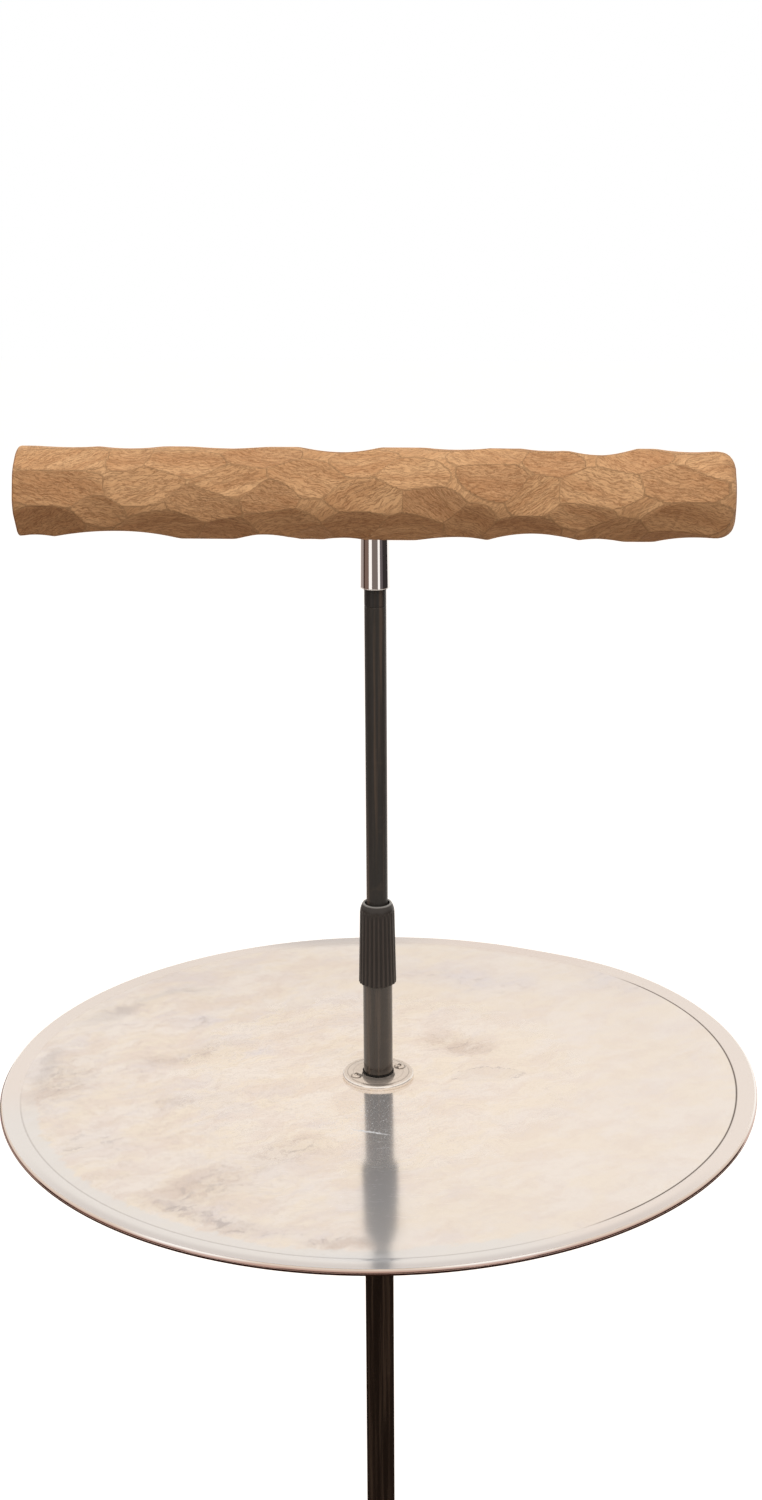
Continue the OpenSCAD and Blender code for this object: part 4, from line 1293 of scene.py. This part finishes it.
class TraySettings(bpy.types.PropertyGroup):
    """Sizes and colours of the spun tray."""

    sheet: length("Sheet", "Thickness of the sheet", 1.2)
    rim_width: length("Rim width", "Width of the rim, from the step at the floor to the outside", 15.5)
    fall: length("Fall", "How much lower the floor lies at its edge than at the tube", 1.5)
    rim_rise: length("Rim rise", "Height of the rim above the floor's edge", 0.3)
    step_width: length("Step width", "Width over which the step rises", 3)
    bead: length("Bead", "Diameter of the rolled edge", 5)
    hole_gap: length("Hole gap", "Gap round the tube", 0.08)
    edge_fall: share("Edge fall", "Share of the fall in the floor's last stretch before the step", 0.75)
    edge_stretch: length("Edge stretch", "Width of that stretch", 16)
    slant: turn("Slant", "How far the sheet leans up towards its right side", 0.27)
    bend: length("Bend", "How far the rim is bent up behind its right side", 4)
    bend_turn: turn("Bend turn", "Direction of that bend, turned from the bar", 22)
    sag: length("Sag", "How far the rim hangs lower at the front and the back", 1)
    wave_height: length("Wave height", "Height of the faint waves in the floor", 0.12)
    wave_scale: FloatProperty(name="Wave scale", description="Waves in a metre of floor", default=7.0)
    segments: number("Segments", "Faces round the tray", 384)
    scratch_y: length("Scratch", "Place of the long scratch in front of the tube", -95)
    streak_turn: turn("Streak turn", "How far the wiped streaks turn from the bar", 33)
    cream: colour("Cream", "Metal of the floor", 250, 237, 223)
    sand: colour("Sand", "Yellow clouds in the floor", 250, 232, 205)
    rose: colour("Rose", "Pinkish wiped streaks", 234, 211, 195)
    lavender: colour("Lavender", "Cool blooms in the floor", 232, 222, 223)
    stain: colour("Stain", "Dried brown stains", 216, 190, 168)
    crumb: colour("Crumb", "Dark dried crumbs", 172, 154, 146)
    rim_metal: colour("Rim", "Cleaner metal of the rim", 242, 227, 214)
    # Rim shade: painted shade on the rim at the back
    rim_shade: colour("Rim shade", "Duller metal of the rim at the back", 186, 176, 170)
    # Clean edge: bright metal set on the rolled edge where its highlight shows, a painted highlight
    clean: colour("Clean edge", "Metal of the rolled edge, kept clean by hands", 254, 252, 250)
    # Cool: painted cool reflection on the rim at the front left
    cool: colour("Cool", "Cool light metal towards the step at the front left", 236, 232, 226)
    # Dirt: grey of the water marks; before the rolled edge at the front and in the shaded patches it is
    # painted shade
    dirt: colour("Dirt", "Grey dirt in water marks and before the rolled edge", 186, 172, 164)
    # Crease: painted shade line at the step
    crease: colour("Crease", "Dirt in the fine line at the step", 90, 78, 70)
    # Underside: painted shade under the rolled edge
    underside: colour("Underside", "Duller metal under the rolled edge", 186, 150, 138)
    film: colour("Film", "Dull film on the metal", 214, 214, 216)


class SpinTray(bpy.types.Operator):
    """Spins the tray with its stepped rim and rolled edge"""

    bl_idname = "stand.spin_tray"
    bl_label = "Spin Tray"

    def execute(self, context):
        tray = context.scene.stand_tray
        mounting = context.scene.stand_mounting
        outer = heights("tray")[2]
        floor = heights("tray_flange")[0]
        tube = heights("lower_tube")[2]
        hole = tube + tray.hole_gap
        bead = tray.bead / 2
        floor_edge = floor - tray.fall
        rim_top = floor_edge + tray.rim_rise
        step_radius = outer - tray.rim_width
        seat = max(heights("tray_flange")[2], heights("tray_collar")[2]) + 1 * MM

        def share_of_fall(radius):
            """How much of the fall is reached at a radius."""
            gentle = ((radius - seat) / (step_radius - seat)) ** 2
            last = min(1.0, max(0.0, (radius - step_radius) / tray.edge_stretch + 1))
            return (1 - tray.edge_fall) * gentle + tray.edge_fall * last * last * (3 - 2 * last)

        def line(depth):
            """Line of the sheet at a depth below its upper face."""
            rings = 60
            places = [seat + (step_radius - seat) * i / rings for i in range(rings + 1)]
            flat = [(hole + (seat - hole) * i / 4, floor - depth) for i in range(4)]
            fall = [(r, floor - depth - tray.fall * share_of_fall(r)) for r in places]
            rise = []
            for s in (i / 12 for i in range(1, 13)):
                lift = tray.rim_rise * (1 - math.cos(math.pi * s)) / 2
                rise.append((step_radius + tray.step_width * s, floor_edge - depth + lift))
            rim_start = step_radius + tray.step_width
            across = outer - bead - rim_start
            rim = [(rim_start + across * i / 4, rim_top - depth) for i in range(1, 4)]
            rolled = arc((outer - bead, rim_top - bead), bead - depth, 90, -180, 26)
            return flat + fall + rise + rim + rolled

        made = turned("tray_spun", line(0) + line(tray.sheet)[::-1], tray.segments)
        finish = material("Tray aluminium", tray_aluminium, tray, step_radius, outer)
        grow(made, hand_spun(), {
            "Wave Height": tray.wave_height, "Wave Scale": tray.wave_scale,
            "Flat Radius": heights("tray_flange")[2] * 1.05, "Rim Radius": step_radius,
            "Slant": math.tan(tray.slant), "Bend": tray.bend, "Bend Turn": tray.bend_turn,
            "Sag": tray.sag, "Material": finish,
        })
        cut(made, *mounting_holes(mounting, floor - tray.sheet, floor))
        hand_over(made, "tray", finish)
        return {"FINISHED"}


# Tray mounting


class MountingSettings(bpy.types.PropertyGroup):
    """Sizes and colours of the flange, its screws and the collar below."""

    flange_round: length("Flange rounding", "Rounding of the flange's upper edge", 1.8)
    ring_line: length("Ring line", "Depth of the fine ring turned in the flange", 0.12)
    screw_circle: length("Screw circle", "Diameter of the circle on which the screws stand", 36.6)
    screw_angle: turn("Screw angle", "Direction of the screws, turned from the bar", 29)
    screw_diameter: length("Screw diameter", "Diameter of the flange screws", 4)
    screw_fit: length("Screw fit", "Gap round a screw in its hole", 0.05)
    screw_length: length("Screw length", "Length of the screws under their heads", 16)
    edge: length("Edge", "Bevel on the collar's edges", 0.8)
    set_screw_diameter: length("Set screw", "Diameter of the collar's set screws", 6)
    set_screw_height: share("Set screw height", "Their height in the collar", 0.38)
    aluminium: colour("Aluminium", "Polished flange", 232, 218, 204)
    film: colour("Film", "Dull film on the flange and its screws", 203, 190, 178)
    bright: colour("Bright edge", "Polished edge of the flange", 252, 249, 245)
    grime: colour("Grime", "Dirt in the turned lines and round the screw heads", 96, 84, 76)
    collar_grey: colour("Collar", "Machined collar", 190, 189, 187)
    black_steel: colour("Black steel", "Set screws", 46, 44, 44)
    rubber: colour("Rubber", "Black rubber", 24, 22, 21)


def mounting_holes(mounting, low, high):
    """Cutters for the two screw holes through a piece."""
    radius = mounting.screw_diameter / 2 + mounting.screw_fit
    places = on_circle(2, mounting.screw_angle, mounting.screw_circle / 2)
    return [rod(f"hole_{i}", radius, low - PAST, high + PAST, place, 32) for i, place in enumerate(places)]


class MountTray(bpy.types.Operator):
    """Makes the flange, the rubber ring, the washer under the tray and the collar"""

    bl_idname = "stand.mount_tray"
    bl_label = "Mount Tray"

    def execute(self, context):
        mounting = context.scene.stand_mounting
        hole = heights("lower_tube")[2] + context.scene.stand_tray.hole_gap
        low, high, outer = heights("tray_flange")
        edge, line = mounting.flange_round, outer - mounting.flange_round * 1.7
        sunk = high - mounting.ring_line
        seat = hole + 2.8 * MM
        outline = [
            (hole, low), (outer - 0.2 * MM, low), (outer, low + 0.2 * MM),
            *arc((outer - edge, high - edge), edge, 0, 90, 10),
            (line, high), (line - 0.2 * MM, sunk), (line - 0.5 * MM, sunk), (line - 0.7 * MM, high),
            (seat, high), (seat - 0.2 * MM, sunk), (hole, sunk),
        ]
        flange = turned("tray_flange_polished", outline, 192)
        cut(flange, *mounting_holes(mounting, low, high))
        finish = material("Polished aluminium", flange_aluminium, mounting, outer)
        hand_over(flange, "tray_flange", finish)
        low, high, outer = heights("flange_seal")
        lip = 0.35 * MM
        outline = [
            (hole, low), (outer, low), (outer, low + 0.6 * MM),
            *arc((hole + lip * 1.4, high - lip), lip, 20, 90, 5), (hole, high),
        ]
        rubber = material("Rubber", plain_rubber, mounting.rubber)
        hand_over(turned("flange_seal_rubber", outline), "flange_seal", rubber)
        low, high, outer = heights("tray_gasket")
        gasket = turned("tray_gasket_rubber", tube_outline(outer, hole, low, high, 0.2 * MM))
        cut(gasket, *mounting_holes(mounting, low, high))
        hand_over(gasket, "tray_gasket", rubber)
        low, high, outer = heights("tray_collar")
        collar = turned("tray_collar_machined", [
            (outer - mounting.edge, low), (outer, low + mounting.edge), (outer, high - 0.2 * MM),
            (outer - 0.2 * MM, high), (hole, high), (hole, low + 0.4 * MM), (hole + 0.4 * MM, low),
        ], 160)
        set_z = low + (high - low) * mounting.set_screw_height
        radius = mounting.set_screw_diameter / 2 + mounting.screw_fit
        cutters = mounting_holes(mounting, low, high)
        lying = Matrix.Rotation(math.pi / 2, 4, "Y")
        for i, angle in enumerate(angles_round(2, mounting.screw_angle + math.pi / 2)):
            tilt = Matrix.Translation((0, 0, set_z)) @ Matrix.Rotation(angle, 4, "Z") @ lying
            cutters.append(rod(f"set_hole_{i}", radius, hole * 0.5, outer * 1.2, segments=40, tilt=tilt))
        cut(collar, *cutters)
        finish = material("Machined collar", turned_metal, mounting.collar_grey, 0.3, 1700)
        hand_over(collar, "tray_collar", finish)
        return {"FINISHED"}


class DriveScrews(bpy.types.Operator):
    """Makes the flange screws and the set screws, and finishes the wood screw"""

    bl_idname = "stand.drive_screws"
    bl_label = "Drive Screws"

    def execute(self, context):
        mounting = context.scene.stand_mounting
        copies = ring_of_copies()
        size = mounting.screw_diameter
        top = heights("tray_flange")[1]
        head_top = heights("flange_screws")[1]
        head, rise = size * 0.95, head_top - top
        dome = (head * head + rise * rise) / (2 * rise)
        spread = math.degrees(math.asin(head / dome))
        foot = top - mounting.screw_length
        crown = arc((0, head_top - dome), dome, 90 - spread, 90, 12)[:-1]
        screw = turned("flange_screws_bright", [
            (0, foot), (size / 2 - 0.5 * MM, foot), (size / 2, foot + 0.5 * MM), (size / 2, top),
            (head - 0.3 * MM, top), *crown, (0, head_top),
        ], 64)
        slot, reach = size * 0.1, head * 0.6
        deep = top + rise * 0.35
        cut(
            screw,
            block("slot_x", (-reach, -slot, deep), (reach, slot, head_top + PAST)),
            block("slot_y", (-slot, -reach, deep), (slot, reach, head_top + PAST)),
        )
        finish = material("Bright screw", screw_head, mounting, top)
        grow(screw, copies, {
            "Count": 2, "Circle Radius": mounting.screw_circle / 2, "Start Angle": mounting.screw_angle,
            "Material": finish,
        })
        hand_over(screw, "flange_screws", finish)
        low, high, _ = heights("collar_set_screws")
        size = mounting.set_screw_diameter
        start = heights("lower_tube")[2] + context.scene.stand_tray.hole_gap
        end = heights("tray_collar")[2] - 1.5 * MM
        set_screw = turned("collar_set_screws_black", [
            (0, start), (size / 2 - 0.6 * MM, start), (size / 2, start + 0.6 * MM),
            (size / 2, end - 0.4 * MM), (size / 2 - 0.4 * MM, end), (0, end),
        ], 48)
        cut(set_screw, rod("key", size * 0.29, end - size * 0.6, end + PAST, segments=6))
        lying = Matrix.Rotation(math.pi / 2, 4, "Y")
        set_screw.data.transform(Matrix.Translation((0, 0, (low + high) / 2)) @ lying)
        finish = material("Black steel", plated_steel, mounting.black_steel, 0.34)
        grow(set_screw, copies, {
            "Count": 2, "Circle Radius": 0.0, "Start Angle": mounting.screw_angle + math.pi / 2,
            "Material": finish,
        })
        hand_over(set_screw, "collar_set_screws", finish)
        keep_node("socket_wood_screw", material("Zinc steel", plated_steel, srgb(196, 190, 176), 0.3))
        return {"FINISHED"}


# Base


class BaseSettings(bpy.types.PropertyGroup):
    """Sizes and colours of the cast base and its fixings."""

    edge_height: length("Edge height", "Height of the rim above the underside", 9)
    dome_height: length("Dome height", "Height at the foot of the hub", 20)
    hub_diameter: length("Hub diameter", "Diameter of the hub at its top", 36)
    hub_foot: length("Hub foot", "Diameter of the hub at its foot", 60)
    recess_depth: length("Recess depth", "Depth of the round recess under the base", 7)
    recess_diameter: length("Recess diameter", "Diameter of that recess", 90)
    bolt_diameter: length("Bolt", "Diameter of the bolt that holds the tube", 10)
    chamfer: length("Chamfer", "Chamfer on the casting's corners", 1.5)
    feet: number("Feet", "Number of rubber feet", 4)
    foot_diameter: length("Foot diameter", "Diameter of each foot's pocket", 24)
    foot_stand: length("Foot stand", "How far each foot stands out below the iron", 3)
    foot_sunk: length("Foot sunk", "How far each foot is let into the iron", 3)
    enamel: colour("Enamel", "Black enamel on the iron", 34, 32, 31)
    worn: colour("Worn", "Scuffs and dust on the enamel", 92, 86, 80)
    steel: colour("Steel", "Bolt, washer and plug", 176, 175, 172)
    rubber: colour("Foot rubber", "Rubber of the feet", 30, 28, 27)


class CastBase(bpy.types.Operator):
    """Makes the cast base and its rubber feet, and finishes the bolt, washer and plug"""

    bl_idname = "stand.cast_base"
    bl_label = "Cast Base"

    def execute(self, context):
        base = context.scene.stand_base
        low, high, outer = heights("base_plate")
        tube_low, _, tube = heights("lower_tube")
        edge = base.edge_height * 0.45
        slope = outer - edge
        foot, top = base.hub_foot / 2, base.hub_diameter / 2
        rim_z, dome_z = low + base.edge_height, low + base.dome_height
        rise = high - base.chamfer - dome_z
        bolt = base.bolt_diameter / 2 + PRESSED_GAP
        sleeve = tube + PRESSED_GAP
        recess, ceiling = base.recess_diameter / 2, low + base.recess_depth
        steps = 24
        dome = []
        hub = []
        for s in (i / steps for i in range(1, steps + 1)):
            dome.append((slope + (foot - slope) * s, rim_z + (dome_z - rim_z) * (s + 0.35 * s * (s - 1))))
            bend = math.pi / 2 * s
            hub.append((foot + (top - foot) * math.sin(bend), dome_z + rise * (1 - math.cos(bend))))
        outline = [
            (outer - base.chamfer, low), (outer, low + base.chamfer),
            *arc((slope, rim_z - edge), edge, 0, 90, 12), *dome, *hub,
            *arc((top - base.chamfer, high - base.chamfer), base.chamfer, 0, 90, 6)[1:],
            (sleeve + 0.6 * MM, high), (sleeve, high - 0.6 * MM), (sleeve, tube_low), (bolt, tube_low),
            (bolt, ceiling), (recess - 0.8 * MM, ceiling), (recess, ceiling - 0.8 * MM), (recess, low),
        ]
        plate = turned("base_plate_iron", outline, 256)
        circle = outer - base.foot_diameter / 2 - base.edge_height
        start = math.radians(45)
        pockets = [
            rod(f"pocket_{i}", base.foot_diameter / 2, low - PAST, low + base.foot_sunk, place)
            for i, place in enumerate(on_circle(base.feet, start, circle))
        ]
        cut(plate, *pockets)
        finish = material("Enamelled iron", cast_iron, base.enamel, base.worn, outer)
        hand_over(plate, "base_plate", finish)
        pad, edge = base.foot_diameter / 2 - 0.2 * MM, 0.8 * MM
        rubber = material("Foot rubber", plain_rubber, base.rubber)
        foot_top = base.foot_stand + base.foot_sunk
        feet = turned("base_feet_rubber", [
            (0, edge), (pad * 0.45, edge), (pad * 0.5, 0), (pad - edge * 2, 0),
            *arc((pad - edge * 2, edge), edge, -90, -20, 5),
            (pad, base.foot_stand), (pad, foot_top), (0, foot_top),
        ], 64)
        grow(feet, ring_of_copies(), {
            "Count": base.feet, "Circle Radius": circle, "Start Angle": start, "Material": rubber,
        })
        hand_over(feet, "base_feet", rubber)
        steel = material("Plain steel", plated_steel, base.steel, 0.28)
        for node in ("base_bolt", "base_washer", "foot_plug"):
            keep_node(node, steel)
        return {"FINISHED"}


# Stage


class StageSettings(bpy.types.PropertyGroup):
    """Camera, lamps and surroundings."""

    distance: length("Distance", "From the tube's axis to the camera, along the ground", 1637.1)
    height: length("Height", "Height of the camera", 1394.2)
    azimuth: turn("Azimuth", "How far round towards +X the camera stands", 3.6)
    yaw: turn("Yaw", "How far the camera looks to the left of the axis", -0.1235)
    pitch: turn("Pitch", "How far the camera looks down", 17.645)
    roll: turn("Roll", "Roll of the camera", -0.332)
    lens: FloatProperty(name="Lens", description="Focal length in millimetres", default=56.2, unit="CAMERA")
    room_light: share("Room light", "Even light from all round", 0.34)
    flag_radius: length("Flag radius", "Distance of the flags from the axis", 1900)


# Flags that only glossy rays see: from and to in degrees round from the camera's side, height in metres
# and colour. The white above the two low ones gives the polished socket its white lines.
FLAGS = [
    (-150, -104, 0.95, (168, 154, 148)),
    (-104, -88, 0.95, (65, 45, 37)),
    (-88, -50, 0.95, (123, 101, 91)),
    (-50, -25, 0.45, (70, 52, 46)),
    (-25, 22, 0.95, (124, 112, 106)),
    (22, 39, 0.45, (70, 52, 46)),
    (39, 62, 0.95, (104, 94, 94)),
    (62, 118, 0.95, (56, 49, 48)),
]
# Dark mat on the floor that only glossy rays see, as its radius and colour
MAT = (1.5, (58, 42, 36))
# The floor's own colour, how much it glows to the eye and in mirrors, half its width and its thickness
FLOOR_TAN = (0.56, 0.45, 0.36)
FLOOR_GLOW = 0.88
FLOOR_HALF = 8
FLOOR_THICKNESS = 0.01
SENSOR_WIDTH = 36
# Height above the floor that the lamps are aimed at
AIM_HEIGHT = 0.85
# Lamps, as name, degrees round from the camera's side, height angle, distance, width, height and power
LAMPS = [
    ("Key", 16, 62, 2.4, 1.6, 1.2, 37),
    ("Left strip", -80, 27, 2.6, 0.5, 1.2, 9),
    ("Right strip", 42, 27, 2.6, 0.5, 1.2, 9),
    ("Rear", 176, 60, 2.6, 1.4, 1.0, 12),
]


def lone_colour(name, base):
    """A material that shows one colour and takes no light."""
    made = bpy.data.materials.new(name)
    tree = empty_tree(made)
    glow = tree.node("ShaderNodeEmission", None, {"Color": base, "Strength": 1.0})
    tree.node("ShaderNodeOutputMaterial", None, {"Surface": glow})
    return made


def floor_material():
    """Pale floor that is white to the eye and still takes the object's shadow."""
    made = bpy.data.materials.new("Pale floor")
    t = empty_tree(made)
    lit = t.node("ShaderNodeBsdfDiffuse", None, {"Color": FLOOR_TAN})
    seen = t.seen_by_eye_or_mirror() * FLOOR_GLOW
    glow = t.node("ShaderNodeEmission", None, {"Color": WHITE, "Strength": seen})
    both = t.node("ShaderNodeAddShader", None, {0: lit, 1: glow})
    t.node("ShaderNodeOutputMaterial", None, {"Surface": both})
    return made


def white_world(room_light):
    """White surroundings to the eye and in mirrors, and a plain even light on the object."""
    world = bpy.data.worlds.new("Studio")
    bpy.context.scene.world = world
    t = empty_tree(world)
    seen = t.seen_by_eye_or_mirror()
    strength = seen + (1 - seen) * room_light
    camera = t.node("ShaderNodeLightPath", out="Is Camera Ray")
    tint = t.blend(camera, WARM_WHITE, WHITE)
    sky = t.node("ShaderNodeBackground", None, {"Color": tint, "Strength": strength})
    t.node("ShaderNodeOutputWorld", None, {"Surface": sky})


def round_from_camera(degrees, azimuth):
    """Direction along the ground, turned from the camera's side towards its right."""
    a = math.radians(degrees) + azimuth
    return Vector((math.sin(a), -math.cos(a), 0))


def flag(name, start, end, height, base, stage):
    """A curved upright cloth that only glossy rays see."""
    work = bmesh.new()
    steps = 16
    columns = []
    for i in range(steps + 1):
        way = round_from_camera(start + (end - start) * i / steps, stage.azimuth) * stage.flag_radius
        columns.append([work.verts.new((way.x, way.y, z)) for z in (0.0, height)])
    for a, b in zip(columns, columns[1:]):
        work.faces.new((a[0], b[0], b[1], a[1]))
    only_in_mirrors(from_bmesh(name, work), base)


def only_in_mirrors(made, base):
    """Makes a stage object visible to glossy rays alone."""
    made.data.materials.append(lone_colour(made.name, base))
    made.visible_camera = False
    made.visible_diffuse = False
    made.visible_shadow = False
    made.visible_transmission = False
    made.visible_volume_scatter = False


def lamp(name, degrees, height_angle, distance, width, height, power, stage):
    """A soft box aimed at the middle of the stand."""
    data = bpy.data.lights.new(name, "AREA")
    data.shape = "RECTANGLE"
    data.size = width
    data.size_y = height
    data.energy = power
    made = link(name, data)
    level = math.radians(height_angle)
    way = round_from_camera(degrees, stage.azimuth) * math.cos(level) + Vector((0, 0, math.sin(level)))
    made.location = Vector((0, 0, AIM_HEIGHT)) + way * distance
    made.rotation_euler = way.to_track_quat("Z", "Y").to_euler()
    made.visible_glossy = False


class SetStage(bpy.types.Operator):
    """Sets up the camera, the lamps, the floor and the white surroundings"""

    bl_idname = "stand.set_stage"
    bl_label = "Set Stage"

    def execute(self, context):
        stage = context.scene.stand_stage
        data = bpy.data.cameras.new("Camera")
        data.lens = stage.lens
        data.sensor_width = SENSOR_WIDTH
        camera = link("Camera", data)
        place = round_from_camera(0, stage.azimuth) * stage.distance + Vector((0, 0, stage.height))
        heading = Matrix.Rotation(stage.azimuth + stage.yaw, 4, "Z")
        tilt = Matrix.Rotation(math.pi / 2 - stage.pitch, 4, "X")
        roll = Matrix.Rotation(stage.roll, 4, "Z")
        camera.matrix_world = Matrix.Translation(place) @ heading @ tilt @ roll
        context.scene.camera = camera
        context.scene.view_settings.view_transform = "Standard"
        floor = block("Floor", (-FLOOR_HALF, -FLOOR_HALF, -FLOOR_THICKNESS), (FLOOR_HALF, FLOOR_HALF, 0))
        floor.data.materials.append(floor_material())
        for i, (start, end, height, base) in enumerate(FLAGS):
            flag(f"Flag_{i}", start, end, height, srgb(*base), stage)
        radius, base = MAT
        only_in_mirrors(rod("Mat", radius, 1 * MM, 2 * MM, segments=64), srgb(*base))
        for settings in LAMPS:
            lamp(*settings, stage)
        white_world(stage.room_light)
        return {"FINISHED"}


class StandPanel(bpy.types.Panel):
    """Lists the settings and the steps in the sidebar"""

    bl_idname = "STAND_PT_perch"
    bl_label = "Perch Stand"
    bl_space_type = "VIEW_3D"
    bl_region_type = "UI"
    bl_category = "Perch Stand"

    def draw(self, context):
        for name, (group, operators) in PARTS.items():
            box = self.layout.box()
            for setting in group.__annotations__:
                box.prop(getattr(context.scene, name), setting)
            for operator in operators:
                box.operator(operator.bl_idname)


# Settings on the scene, each with its group and the operators that read it, in the order of work
PARTS = {
    "stand_stage": (StageSettings, (SetStage,)),
    "stand_bar": (BarSettings, (CarveBar,)),
    "stand_socket": (SocketSettings, (TurnSocket,)),
    "stand_tubes": (TubeSettings, (FitUpperTube, FitLowerTube)),
    "stand_grip": (GripSettings, (MouldGrip,)),
    "stand_tray": (TraySettings, (SpinTray,)),
    "stand_mounting": (MountingSettings, (MountTray, DriveScrews)),
    "stand_base": (BaseSettings, (CastBase,)),
}


def register():
    """Registers the groups, the operators and the panel."""
    for name, (group, operators) in PARTS.items():
        bpy.utils.register_class(group)
        setattr(bpy.types.Scene, name, PointerProperty(type=group))
        for operator in operators:
            bpy.utils.register_class(operator)
    bpy.utils.register_class(StandPanel)


def unregister():
    """Takes away what register() added."""
    bpy.utils.unregister_class(StandPanel)
    for name, (group, operators) in PARTS.items():
        for operator in operators:
            bpy.utils.unregister_class(operator)
        delattr(bpy.types.Scene, name)
        bpy.utils.unregister_class(group)


def main():
    """Makes the stage and every piece."""
    register()
    for _, operators in PARTS.values():
        for operator in operators:
            family, name = operator.bl_idname.split(".")
            getattr(getattr(bpy.ops, family), name)()


if __name__ == "__main__":
    main()
